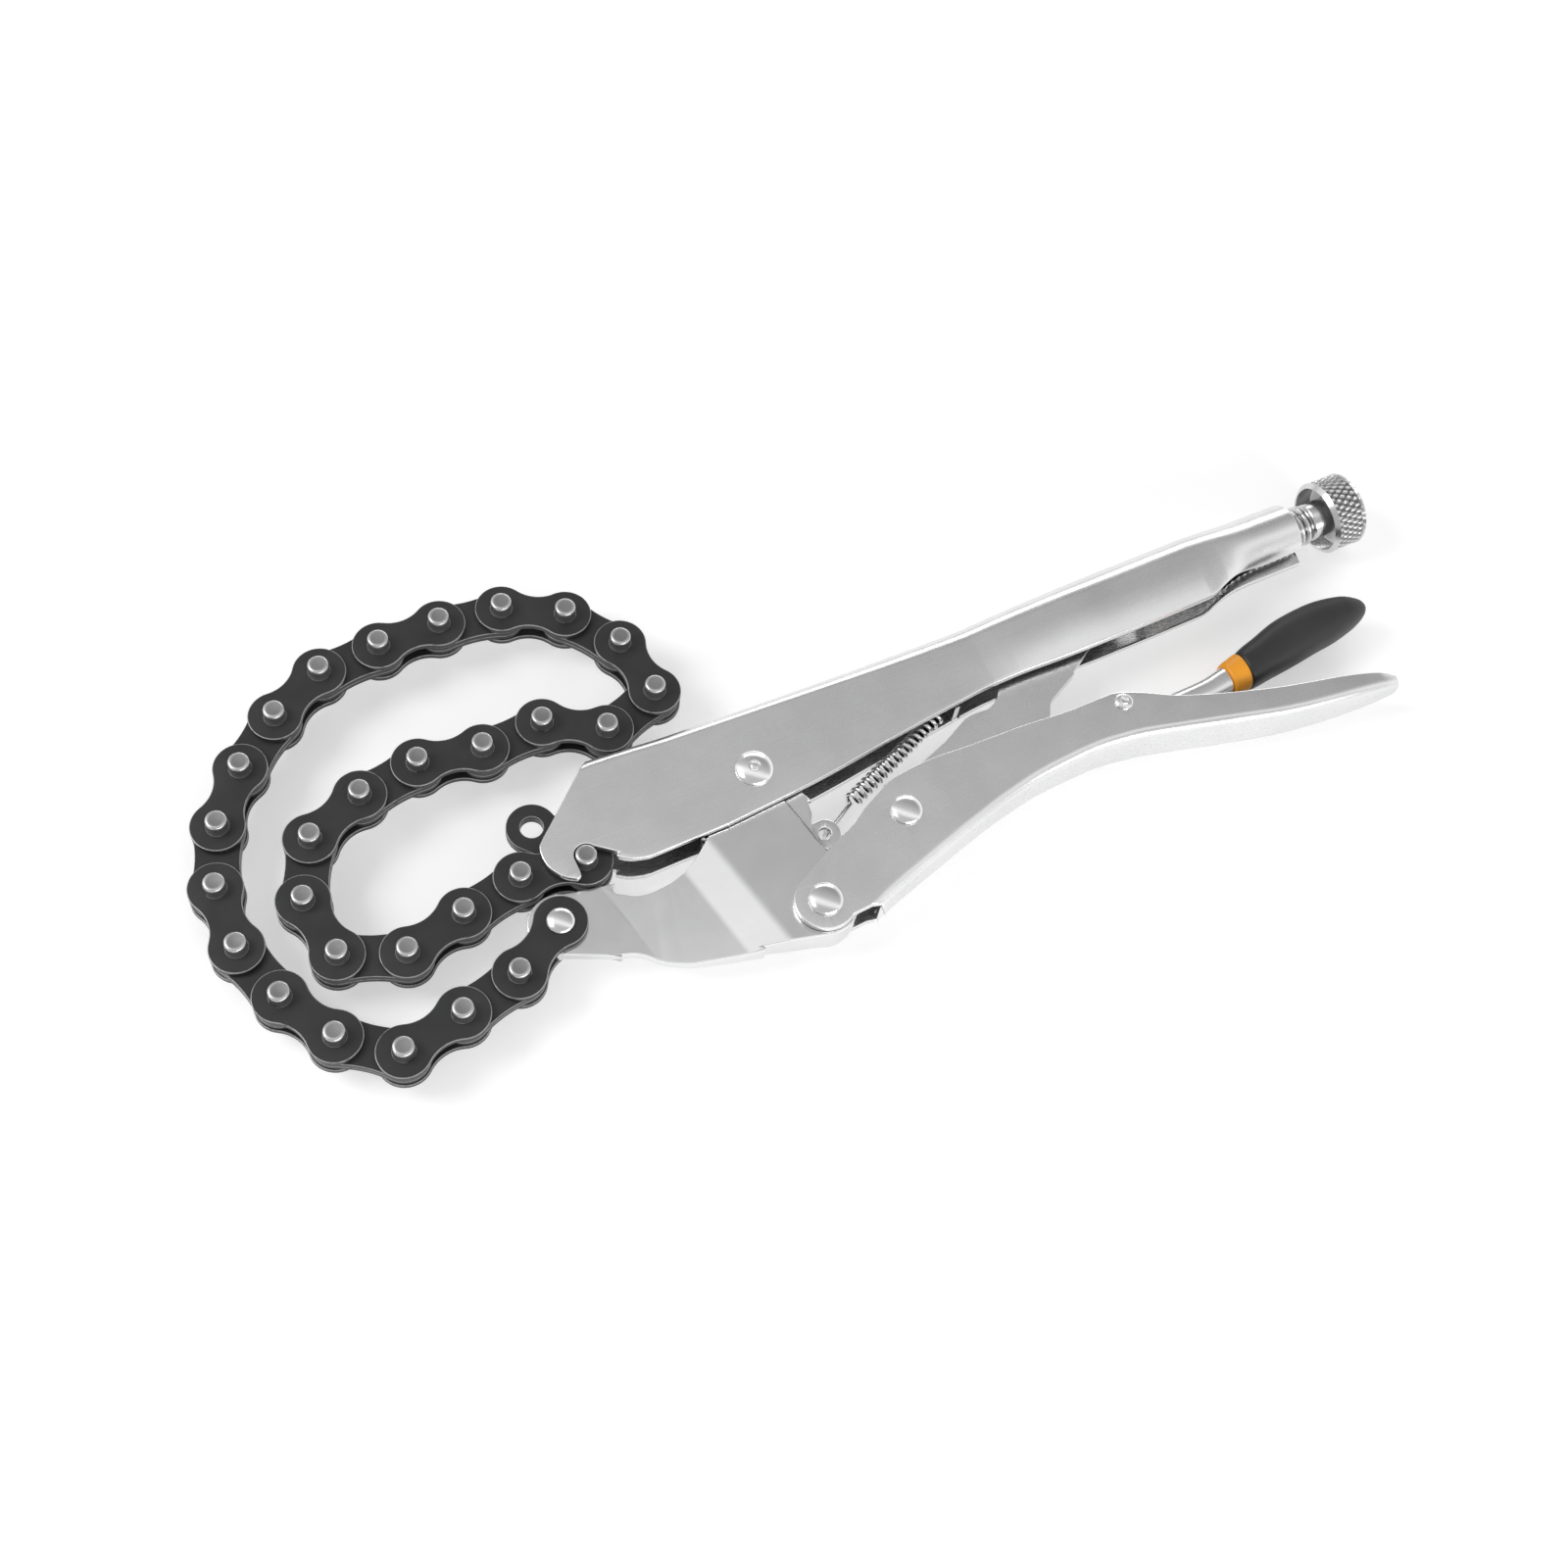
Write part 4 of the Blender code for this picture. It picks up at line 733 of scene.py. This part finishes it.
# Each row, in millimetres: x, open edge, outside of the spine, half width
LEVER_ROWS = (
    (-9, -26, -52, 5.9), (4, -26, -48, 5.9), (13, -24, -44.2, 5.9), (26, -17, -40.2, 6.1),
    (33, -15.6, -38.2, 6.2), (40, -15.2, -36.2, 6.3), (52, -15.9, -33.2, 6.4), (66, -16.5, -30.9, 6.6),
    (80, -17.7, -30.3, 6.9), (91, -17.8, -31.4, 6.9), (97.5, -20.2, -32.8, 6.9), (106, -24.8, -35, 6.9),
    (117, -29, -37.9, 6.9), (134, -34, -41.8, 6.6), (150, -37.4, -43.7, 5.9), (160, -40, -44.4, 4.7),
    (164, -42, -44.6, 3.5),
)


def lever_ring(x, open_edge, spine, half):
    outer, inner = channel_section(-open_edge, -spine, half, LEVER_SHEET, LEVER_CORNER, LEVER_STEPS)
    return [(x, -y, -z) for y, z in outer + inner[::-1]]


def build_lever_handle():
    rows = eased_rows(in_mm(*LEVER_ROWS), RING_STEP)
    shell = loft_mesh("lever_shell", [lever_ring(*row) for row in rows])
    nose = arc(LEVER_PIVOT, LEVER_NOSE_RADIUS, 121.0, 306.0, 36)
    around = nose + in_mm((9.6, -43.6), (12.5, -44.4), (14, -70), (-30, -70), (-30, 0),
                          (27, 0), (27, -17))
    front_cut = flat_mesh("lever_front", [around], 14 * MM)
    inside = LEVER_HALF_FRONT - LEVER_SHEET
    arch = flat_mesh("arch", [in_mm((-20, -60), (10.5, -60), (12, -42), (8.5, -38), (-20, -38))], inside)
    mesh = combined("lever_handle", shell, [
        ("DIFFERENCE", front_cut), ("DIFFERENCE", arch),
        cut_hole(LEVER_PIVOT, LEVER_RIVET[0] + PIN_GAP, 14 * MM),
        cut_hole(LINK_PIVOT, LINK_RIVET[0] + PIN_GAP, 14 * MM),
        cut_hole(RELEASE_PIVOT, RELEASE_PIN[0] + PIN_GAP, 14 * MM, 24)])
    finished("lever_sheet", edged(mesh, 0.32 * MM), PLATED, "lever_handle", "lever_handle")


# Toggle link

LINK_HALF = 1.5 * MM
LINK_END = mm(104.6, 8.3)
LINK_END_RADIUS = 4.2 * MM


def build_toggle_link():
    outline = arc(LINK_PIVOT, 7.4 * MM, 113.0, 293.0, 24)
    outline += rounded(in_mm((46, -23.5, 30), (62, -20.5, 30), (72, -18.6, 4), (76.2, -14.9, 4),
                             (78.3, -11.4, 4), (97.7, -2.4, 8)), 6)
    outline += arc(LINK_END, LINK_END_RADIUS, -50.0, 100.0, 20)
    outline += rounded(in_mm((92, 10, 10), (76, 3.5, 8), (68.5, -1.4, 4), (66.4, -5, 4),
                             (63.1, -6.9, 4), (58.1, -6.6, 4), (56, -6.9, 4), (40.5, -14.2, 20)), 6)
    blank = flat_mesh("link_blank", [outline], LINK_HALF)
    hub = flat_mesh("hub", [circle(LINK_PIVOT, 6.0 * MM, 48)], 3.75 * MM)
    mesh = combined("toggle_link", blank, [
        ("UNION", hub), cut_hole(LINK_PIVOT, LINK_RIVET[0] + PIN_GAP)])
    finished("toggle_plate", edged(mesh, 0.15 * MM), PLATED, "toggle_link", "toggle_link")


# Rivets: shank radius, head radius, head height, outer face

JAW_RIVET = (3.2 * MM, 4.7 * MM, 1.7 * MM, HANDLE_HALF_FRONT)
LEVER_RIVET = (2.9 * MM, 4.2 * MM, 1.5 * MM, LEVER_HALF_FRONT + 0.1 * MM)
LINK_RIVET = (2.7 * MM, 3.9 * MM, 1.4 * MM, LEVER_HALF_FRONT + 0.35 * MM)
RELEASE_PIN = (1.7 * MM, 2.3 * MM, 0.8 * MM, LEVER_HALF_REAR)
CHAIN_RIVET = mm(2.3, 3.4, 1.4, 3.25)


def rivet_mesh(name, sizes, pip, dish):
    """A rivet with a domed head beyond each outer face, and a ring or dish left by its setting."""
    radius, head, height, face = sizes
    seat, band = face + 0.12 * MM, 0.25 * MM
    start = radians(12.0)
    dome = []
    for i in range(17):
        angle = radians(90.0 - 78.0 * i / 16)
        dome.append((head * cos(angle) / cos(start), seat + band + (height - band)
                     * (sin(angle) - sin(start)) / (1 - sin(start))))

    def ring_cut(r):
        return 0.16 * MM * exp(-((r - pip) / (0.22 * pip)) ** 2)

    shaped = []
    for r, z in dome:
        if pip and r < pip * 1.6:
            z -= ring_cut(r)
        if dish and r < dish:
            z -= 0.45 * MM * (1 - (r / dish) ** 2)
        shaped.append((r, z))
    if pip:
        for r in (pip * k / 8 for k in range(1, 13)):
            shaped.append((r, float(np.interp(r, *zip(*dome))) - ring_cut(r)))
        shaped.sort(key=lambda p: p[0])
    profile = shaped + [(head, seat + 0.12 * MM), (head - 0.12 * MM, seat), (radius, seat)]
    profile += [(r, -z) for r, z in reversed(profile)]
    return smooth(turned_mesh(name, profile, 64), 50.0)


def build_rivets():
    for name, sizes, at, body, pip, dish in (
            ("jaw_rivet", JAW_RIVET, (0.0, 0.0), "fixed_handle", 1.1 * MM, 0.0),
            ("lever_rivet", LEVER_RIVET, LEVER_PIVOT, "lever_handle", 0.0, 0.0),
            ("link_rivet", LINK_RIVET, LINK_PIVOT, "lever_handle", 0.0, 0.0),
            ("release_pin", RELEASE_PIN, RELEASE_PIVOT, "lever_handle", 0.0, 1.3 * MM),
            ("chain_rivet", CHAIN_RIVET, CHAIN_START, "lower_jaw", 0.0, 0.0)):
        finished(name + "_dome", rivet_mesh(name, sizes, pip, dish), CHROME, body, name,
                 place=TOOL @ Matrix.Translation((*at, 0.0)))


# Adjusting screw with its knurled cup head

SCREW_TIP_X = 109.9 * MM
SCREW_RADIUS = 5.4 * MM
THREAD_START_X = 115.9 * MM
THREAD_END_X = 169.6 * MM
THREAD_PITCH = 2.0 * MM
THREAD_DEPTH = 0.95 * MM
# Shares of half a turn: from the crest's middle to the root, and a flank's width
THREAD_ROOT = 0.78
THREAD_FLANK = 0.5
NECK_RADIUS = 5.0 * MM
CUP_FLOOR_X = 178.2 * MM
CUP_RIM_X = 173.1 * MM
CUP_INSIDE_RADIUS = 8.5 * MM
HEAD_RADIUS = 9.8 * MM
HEAD_END_X = 183.4 * MM
HEAD_CHAMFER = 1.1 * MM
KNURL_TEETH = 34
KNURL_DEPTH = 0.5 * MM
KNURL_TURN = 30.0
KNURL_STEPS = 34


def thread_radius(x, angle):
    """Flat crests, sloping flanks and narrow roots of a coarse thread, fading at both ends."""
    turn = (x / THREAD_PITCH - angle / (2 * pi)) % 1.0
    away = abs(turn - 0.5) * 2
    rise = min(max((THREAD_ROOT - away) / THREAD_FLANK, 0.0), 1.0)
    fade = min(1.0, (x - THREAD_START_X) / (1.5 * MM), (THREAD_END_X - x) / (0.8 * MM))
    return SCREW_RADIUS - THREAD_DEPTH * (1.0 - rise * max(fade, 0.0))


def knurl_height(x, angle):
    """Two sets of slanting ridges crossing on the head."""
    slant = (x - CUP_RIM_X) * tan(radians(KNURL_TURN)) / HEAD_RADIUS
    turns = ((angle + way * slant) * KNURL_TEETH / (2 * pi) % 1.0 for way in (1, -1))
    left, right = (1.0 - abs(t - 0.5) * 2 for t in turns)
    inset = min(x - CUP_RIM_X - HEAD_CHAMFER, HEAD_END_X - HEAD_CHAMFER - x) / (0.5 * MM)
    return KNURL_DEPTH * (left * right - 1.0) * min(max(inset, 0.0), 1.0)


def grooved(mesh, crest, depth, ends):
    """Marks how far below the crest each point lies, between two places along the axis; the deepest points
    get painted shade.
    """
    def share(at):
        below = (crest - hypot(at.y - TUBE_AXIS_Y, at.z)) / depth
        return below if ends[0] < at.x < ends[1] and below < 1.05 else 0.0

    marked(mesh, "groove", share)


def build_screw():
    nose, root = 3.0 * MM, SCREW_RADIUS - THREAD_DEPTH
    turns = [2 * pi * i / 72 for i in range(72)]
    rows = [(0.0, SCREW_TIP_X), (nose - 0.5 * MM, SCREW_TIP_X), (nose, SCREW_TIP_X + 0.5 * MM),
            (nose, SCREW_TIP_X + 4.0 * MM), (root, THREAD_START_X)]
    steps = int((THREAD_END_X - THREAD_START_X) / THREAD_PITCH * 10)
    for i in range(1, steps):
        x = THREAD_START_X + (THREAD_END_X - THREAD_START_X) * i / steps
        rows.append(([thread_radius(x, a) for a in turns], x))
    rows += [(root, THREAD_END_X), (NECK_RADIUS - 0.1 * MM, THREAD_END_X + 0.35 * MM),
             (NECK_RADIUS, THREAD_END_X + 0.6 * MM), (NECK_RADIUS, CUP_FLOOR_X)]
    stem = turned_mesh("screw_stem", rows, len(turns), TUBE_AXIS_Y)
    grooved(stem, SCREW_RADIUS, THREAD_DEPTH, (THREAD_START_X, THREAD_END_X))
    turns = [2 * pi * i / (KNURL_TEETH * 8) for i in range(KNURL_TEETH * 8)]
    wall, crown = CUP_INSIDE_RADIUS, HEAD_RADIUS - HEAD_CHAMFER
    rows = [(NECK_RADIUS - 0.05 * MM, CUP_FLOOR_X), (wall - 1.0 * MM, CUP_FLOOR_X),
            (wall - 0.25 * MM, CUP_FLOOR_X - 0.4 * MM), (wall, CUP_FLOOR_X - 1.0 * MM),
            (wall, CUP_RIM_X + 0.2 * MM), (wall + 0.2 * MM, CUP_RIM_X), (crown + 0.1 * MM, CUP_RIM_X)]
    low, high = CUP_RIM_X + HEAD_CHAMFER, HEAD_END_X - HEAD_CHAMFER
    for i in range(KNURL_STEPS + 1):
        x = low + (high - low) * i / KNURL_STEPS
        rows.append(([HEAD_RADIUS + knurl_height(x, a) for a in turns], x))
    rows += [(crown + 0.1 * MM, HEAD_END_X - 0.15 * MM), (crown - 0.15 * MM, HEAD_END_X),
             (2.0 * MM, HEAD_END_X), (0.0, HEAD_END_X - 0.5 * MM)]
    head = turned_mesh("screw_head", rows, len(turns), TUBE_AXIS_Y)
    grooved(head, HEAD_RADIUS, KNURL_DEPTH, (low + 0.2 * MM, high - 0.2 * MM))
    finished("screw_thread", smooth(stem, 50.0), SCREW_STEEL, "adjusting_screw")
    finished("screw_knurled_head", smooth(head, 38.0), SCREW_STEEL, "adjusting_screw", "adjusting_screw")


# Release lever with its grip

RELEASE_HALF = 4.0 * MM
RELEASE_SHEET = 1.6 * MM
# Each row, in millimetres: x, middle, half height, half width
NECK_ROWS = (
    (100, -24.8, 2.9, 4), (108, -25.4, 3.3, 4), (116, -25.3, 3.4, 4), (123.4, -24.3, 3.6, 4))
COLLAR_ROWS = (
    (123.6, -24.33, 4.1, 4.2), (124, -24.27, 4.5, 4.6), (126.2, -23.95, 4.75, 4.85),
    (128.4, -23.65, 5, 5), (128.85, -23.6, 4.7, 4.7))
GRIP_ROWS = (
    (129, -23.6, 4.4, 4.4), (129.4, -23.5, 4.9, 4.9), (136, -22.2, 5.6, 5.5), (145, -20.6, 6.3, 6.1),
    (155, -19.7, 6, 6.2), (163, -19.6, 4.7, 5.4), (167.5, -19.85, 2.9, 3.7), (169.2, -20, 1.5, 2.2),
    (169.6, -20.1, 0.5, 0.9))


def oval_ring(x, middle, half_height, half_width, sides, square):
    """A rounded section, from an ellipse (2) towards a box (more)."""
    def swelled(t):
        return copysign(abs(t) ** (2 / square), t)

    angles = (2 * pi * (i + 0.5) / sides for i in range(sides))
    return [(x, middle + half_height * swelled(cos(a)), half_width * swelled(sin(a))) for a in angles]


def oval_mesh(name, rows, step, sides, square):
    rings = [oval_ring(*row, sides, square) for row in eased_rows(in_mm(*rows), step)]
    return smooth(loft_mesh(name, rings), 50.0)


def build_release_lever():
    at = RELEASE_PIVOT
    neck = oval_mesh("neck", NECK_ROWS, 1.5 * MM, 48, 2.6)
    nose = arc(mm(82.6, -21.4), 2.2 * MM, 90.0, 250.0, 14)
    arm_outline = nose + in_mm((90, -26), (101.5, -27.6), (101.5, -22.2))
    arm_outline += arc(at, 3.9 * MM, 35.0, 118.0, 12)
    arm = flat_mesh("arm", [arm_outline], RELEASE_HALF)
    slot = flat_mesh("slot", [in_mm((79, -30), (98, -30), (98, -24.9), (96.5, -10), (79, -10))],
                     RELEASE_HALF - RELEASE_SHEET)
    lever = combined("release_arm", arm, [
        ("DIFFERENCE", slot), ("UNION", neck), cut_hole(at, RELEASE_PIN[0] + PIN_GAP, sides=24)])
    for name, mesh, look, nodes in (
            ("release_arm", edged(lever, 0.25 * MM, angle=40.0), PLATED, "release_lever"),
            ("collar_band", oval_mesh("collar", COLLAR_ROWS, 0.5 * MM, 64, 2.4), ORANGE, "release_collar"),
            ("grip_sleeve", oval_mesh("grip", GRIP_ROWS, 1.0 * MM, 64, 2.3), BLACK, "release_grip")):
        finished(name, mesh, look, "release_lever", nodes)


# Leaf chain

CHAIN_PITCH = 15.875 * MM
CHAIN_PIN_RADIUS = 2.55 * MM
CHAIN_PIN_HALF_LENGTH = 6.65 * MM
# Each plate: end radius, half width at the waist, thickness
OUTER_PLATE = mm(6.5, 4.3, 1.55)
INNER_PLATE = mm(6.15, 5.2, 1.4)
OUTER_PLATE_INSIDE = 1.7 * MM
INNER_PLATE_OFFSET = 0.1 * MM
CHAIN_START_HEADING = -150.0
CHAIN_TURNS = (
    -17, -2, -49, -23.5, -12, -19.5, -19, -17.5, -12, -11, -23.5, -4, -8, -21, -26.5, -27,
    -79.5, -48, 32.5, -12, 18.5, 13, 41, 34.5, 60, 36, -4.5,
)
LOOSE_END_TURN = 128.1


def plate_mesh(name, end_radius, waist_half, thickness, bore, wear):
    """A figure-of-eight plate between its two pins, its rim rounded by the press."""
    half = CHAIN_PITCH / 2
    flank = (half ** 2 + waist_half ** 2 - end_radius ** 2) / (2 * (end_radius - waist_half))
    rise = flank + waist_half
    angle = degrees(atan2(rise, half))
    points = arc((0.0, 0.0), end_radius, angle, 360.0 - angle, 30)
    points += arc((half, -rise), flank, 180.0 - angle, angle, 14)[1:-1]
    points += arc((CHAIN_PITCH, 0.0), end_radius, -180.0 + angle, 180.0 - angle, 30)
    points += arc((half, rise), flank, -angle, -180.0 + angle, 14)[1:-1]
    holes = [circle((x, 0.0), bore, 28) for x in (0.0, CHAIN_PITCH)]
    return edged(flat_mesh(name, [points] + holes, thickness / 2), wear, 50.0)


def pin_mesh():
    """A riveted pin: a short domed end with a turned-over rim."""
    reach, radius = CHAIN_PIN_HALF_LENGTH, CHAIN_PIN_RADIUS
    profile = [(radius * share, reach - fall * MM) for share, fall in (
        (0.0, 0.12), (0.35, 0.1), (0.62, 0.03), (0.8, 0.0), (0.93, 0.12), (1.0, 0.42), (1.0, 0.9))]
    profile += [(r, -z) for r, z in reversed(profile)]
    mesh = turned_mesh("pin", profile, 40)
    mesh.shade_smooth()
    layer = mesh.attributes.new("edge", "FLOAT", "CORNER")
    for loop in mesh.loops:
        at = mesh.vertices[loop.vertex_index].co
        on_rim = abs(at.z) > reach - 0.5 * MM and hypot(at.x, at.y) > radius * 0.75
        layer.data[loop.index].value = 1.0 if on_rim else 0.0
    return mesh


def chain_headings():
    """Headings of all links. The last two close the loop on the hook's seat."""
    headings = [CHAIN_START_HEADING]
    at = list(CHAIN_START)
    for turn in CHAIN_TURNS:
        at[0] += CHAIN_PITCH * cos(radians(headings[-1]))
        at[1] += CHAIN_PITCH * sin(radians(headings[-1]))
        headings.append(headings[-1] + turn)
    headings.pop()
    dx, dy = HOOK_SEAT[0] - at[0], HOOK_SEAT[1] - at[1]
    span, across = hypot(dx, dy), degrees(atan2(dy, dx))
    bow = degrees(acos(min(span / (2 * CHAIN_PITCH), 1.0)))
    headings += [across + bow, across - bow]
    return headings + [headings[-1] + LOOSE_END_TURN]


def make_link_tree():
    """Plates repeated through a link's thickness and pins along its pitch, laid at its place."""
    tree, given, out = tree_group("leaf_chain_link", "Geometry", [
        MESH, ("Plate", "Object"), ("Pin", "Object"), ("Plate Middle", "Float"), ("First Pin", "Float"),
        ("Pins", "Int"), ("Pin Pitch", "Float"), ("Place", "Vector"), ("Heading", "Float"),
        ("Plate Finish", "Material"), ("Pin Finish", "Material")], [MESH])

    def vector(**parts):
        return node(tree, "ShaderNodeCombineXYZ", parts).outputs[0]

    def repeated(piece, count, first, step):
        row = grown(tree, "MeshLine", {"Count": count, "Start Location": first, "Offset": step})
        shape = node(tree, "GeometryNodeObjectInfo", {"Object": given[piece]}).outputs["Geometry"]
        return grown(tree, "InstanceOnPoints", {"Points": row, "Instance": shape})

    low, span = (math_node(tree, "MULTIPLY", given["Plate Middle"], factor) for factor in (-1.0, 2.0))
    plates = repeated("Plate", 2, vector(Z=low), vector(Z=span))
    pins = repeated("Pin", given["Pins"], vector(X=given["First Pin"]), vector(X=given["Pin Pitch"]))
    pins = grown(tree, "StoreNamedAttribute", {"Geometry": pins, "Name": "pin", "Value": True},
                 data_type="BOOLEAN", domain="INSTANCE")
    both = node(tree, "GeometryNodeJoinGeometry")
    for part in (plates, pins):
        wire_up(tree, part, both.inputs["Geometry"])
    laid = grown(tree, "Transform", {"Geometry": both.outputs[0], "Translation": given["Place"],
                                     "Rotation": vector(Z=given["Heading"])})
    real = grown(tree, "RealizeInstances", {"Geometry": laid})
    plain = grown(tree, "SetMaterial", {"Geometry": real, "Material": given["Plate Finish"]})
    is_pin = node(tree, "GeometryNodeInputNamedAttribute", {"Name": "pin"}, data_type="BOOLEAN")
    made = grown(tree, "SetMaterial", {
        "Geometry": plain, "Selection": is_pin.outputs["Attribute"], "Material": given["Pin Finish"]})
    wire_up(tree, made, out[0])
    return tree


def build_chain():
    bore = CHAIN_PIN_RADIUS + 0.04 * MM
    outer = plate_mesh("outer_plate", *OUTER_PLATE, bore, 0.22 * MM)
    inner = plate_mesh("inner_plate", *INNER_PLATE, bore + 0.2 * MM, 0.16 * MM)
    outer, inner, pin = (helper(mesh.name, mesh) for mesh in (outer, inner, pin_mesh()))
    for source, finish in ((outer, OXIDE), (inner, OXIDE), (pin, PIN_STEEL)):
        source.data.materials.append(finish)
    tree = make_link_tree()
    at = Vector((*CHAIN_START, 0.0))
    for number, heading in enumerate(chain_headings(), 1):
        name = f"link_{number:02d}"
        if number % 2:
            plate, pins, nodes = outer, 1 if number == 1 else 2, [name]
            middle = OUTER_PLATE_INSIDE + OUTER_PLATE[2] / 2
        else:
            plate, pins, nodes = inner, 0, [name + "_upper", name + "_lower"]
            middle = INNER_PLATE_OFFSET + INNER_PLATE[2] / 2
        angle = radians(heading)
        mesh = run_tree(name, tree, {
            "Plate": plate, "Pin": pin, "Plate Middle": middle, "Pins": pins, "Pin Pitch": CHAIN_PITCH,
            "First Pin": CHAIN_PITCH if number == 1 else 0.0, "Place": tuple(TOOL @ at),
            "Heading": angle, "Plate Finish": OXIDE, "Pin Finish": PIN_STEEL})
        finished(name + "_plates", mesh, None, name, *nodes, place=None)
        at = at + Vector((cos(angle), sin(angle), 0.0)) * CHAIN_PITCH
    for item in (outer, inner, pin):
        bpy.data.objects.remove(item, do_unlink=True)


build_fixed_handle()
build_lower_jaw()
build_lever_handle()
build_toggle_link()
build_rivets()
build_screw()
build_release_lever()
build_spring()
build_chain()


# Floor, lights and camera

FLOOR_GREY = 0.75
FLOOR_GLOW = 0.46
SKY_BRIGHT = 1.12
SKY_MIDDLE = 0.56
SKY_DARK = 0.30
SKY_ON_OBJECT = 0.42


def either(tree, share, low, high):
    """One shader or another, by a share."""
    return node(tree, "ShaderNodeMixShader", {0: share, 1: low, 2: high}).outputs[0]


def build_stage():
    work = bmesh.new()
    bmesh.ops.create_grid(work, x_segments=4, y_segments=4, size=3.0)
    floor = helper("floor", as_mesh(work, "floor"))
    made, tree, shader = new_material("pale_floor", 0.0)
    shader.inputs["Roughness"].default_value = 0.9
    shader.inputs["Base Color"].default_value = (FLOOR_GREY, FLOOR_GREY, FLOOR_GREY, 1.0)
    path = node(tree, "ShaderNodeLightPath").outputs
    glow = node(tree, "ShaderNodeEmission", {"Strength": FLOOR_GLOW}).outputs[0]
    both = node(tree, "ShaderNodeAddShader", {0: shader.outputs[0], 1: glow}).outputs[0]
    seen = math_node(tree, "MAXIMUM", path["Is Camera Ray"], path["Is Glossy Ray"])
    surface = tree.nodes["Material Output"].inputs["Surface"]
    wire_up(tree, either(tree, seen, shader.outputs[0], both), surface)
    floor.data.materials.append(made)


def soft_light(name, at, size, power, shape=1.0):
    lamp = bpy.data.lights.new(name, "AREA")
    lamp.shape = "RECTANGLE"
    lamp.size, lamp.size_y = size, size * shape
    lamp.energy = power
    item = helper(name, lamp)
    item.location = at
    item.rotation_euler = (-Vector(at)).to_track_quat("-Z", "Y").to_euler()


def sky_level(tree):
    """What polished metal sees: a soft sky with one bright zone, and a paler band round the horizon."""
    split = node(tree, "ShaderNodeSeparateXYZ", {0: node(tree, "ShaderNodeTexCoord").outputs["Generated"]})
    x, y, z = split.outputs
    slant = math_node(tree, "ADD", x, y)
    zone = math_node(tree, "MINIMUM", ranged(tree, slant, 0.0, SKY_BRIGHT - SKY_MIDDLE, -0.2, 0.1),
                     ranged(tree, slant, SKY_BRIGHT - SKY_MIDDLE, 0.0, 0.25, 0.5))
    level = math_node(tree, "ADD", zone, ranged(tree, slant, SKY_MIDDLE, SKY_DARK, 0.6, 1.1))
    rim = ranged(tree, x, SKY_MIDDLE, SKY_BRIGHT, 0.45, 0.8)
    low = ranged(tree, z, 1.0, 0.0, 0.3, 0.6)
    lift = math_node(tree, "MAXIMUM", math_node(tree, "SUBTRACT", rim, level), 0.0)
    return math_node(tree, "ADD", level, math_node(tree, "MULTIPLY", lift, low))


def build_lights():
    world = bpy.data.worlds.new("studio")
    bpy.context.scene.world = world
    world.use_nodes = True
    tree = world.node_tree
    path = node(tree, "ShaderNodeLightPath").outputs
    soft, mirrored, white = (
        node(tree, "ShaderNodeBackground", {"Color": (1.0, 1.0, 1.0, 1.0), "Strength": strength}).outputs[0]
        for strength in (SKY_ON_OBJECT, sky_level(tree), 1.0))
    shown = either(tree, path["Is Glossy Ray"], soft, mirrored)
    shown = either(tree, path["Is Transmission Ray"], shown, white)
    shown = either(tree, path["Is Camera Ray"], shown, white)
    wire_up(tree, shown, tree.nodes["World Output"].inputs["Surface"])
    soft_light("key_light", (-0.75, 0.35, 0.8), 0.5, 5.0)
    soft_light("low_light", (0.05, -0.95, 0.4), 0.9, 5.0, 0.35)
    soft_light("back_light", (0.5, 0.95, 0.45), 0.9, 2.0, 0.35)


def build_camera():
    camera = bpy.data.cameras.new("camera")
    camera.sensor_fit = "HORIZONTAL"
    camera.sensor_width = 36.0
    camera.lens = 50.492
    camera.clip_start = 0.01
    item = helper("camera", camera)
    right = Vector((0.88755498, -0.45038704, 0.09694159))
    up = Vector((0.36259961, 0.81272243, 0.45607431))
    ahead = Vector((0.28419656, 0.36964005, -0.884646))
    turned = Matrix((right, up, -ahead)).transposed().to_4x4()
    item.matrix_world = Matrix.Translation((-0.170644, -0.2172206, 0.4841839)) @ turned
    bpy.context.scene.camera = item


build_stage()
build_lights()
build_camera()
bpy.context.scene.view_settings.view_transform = "Standard"
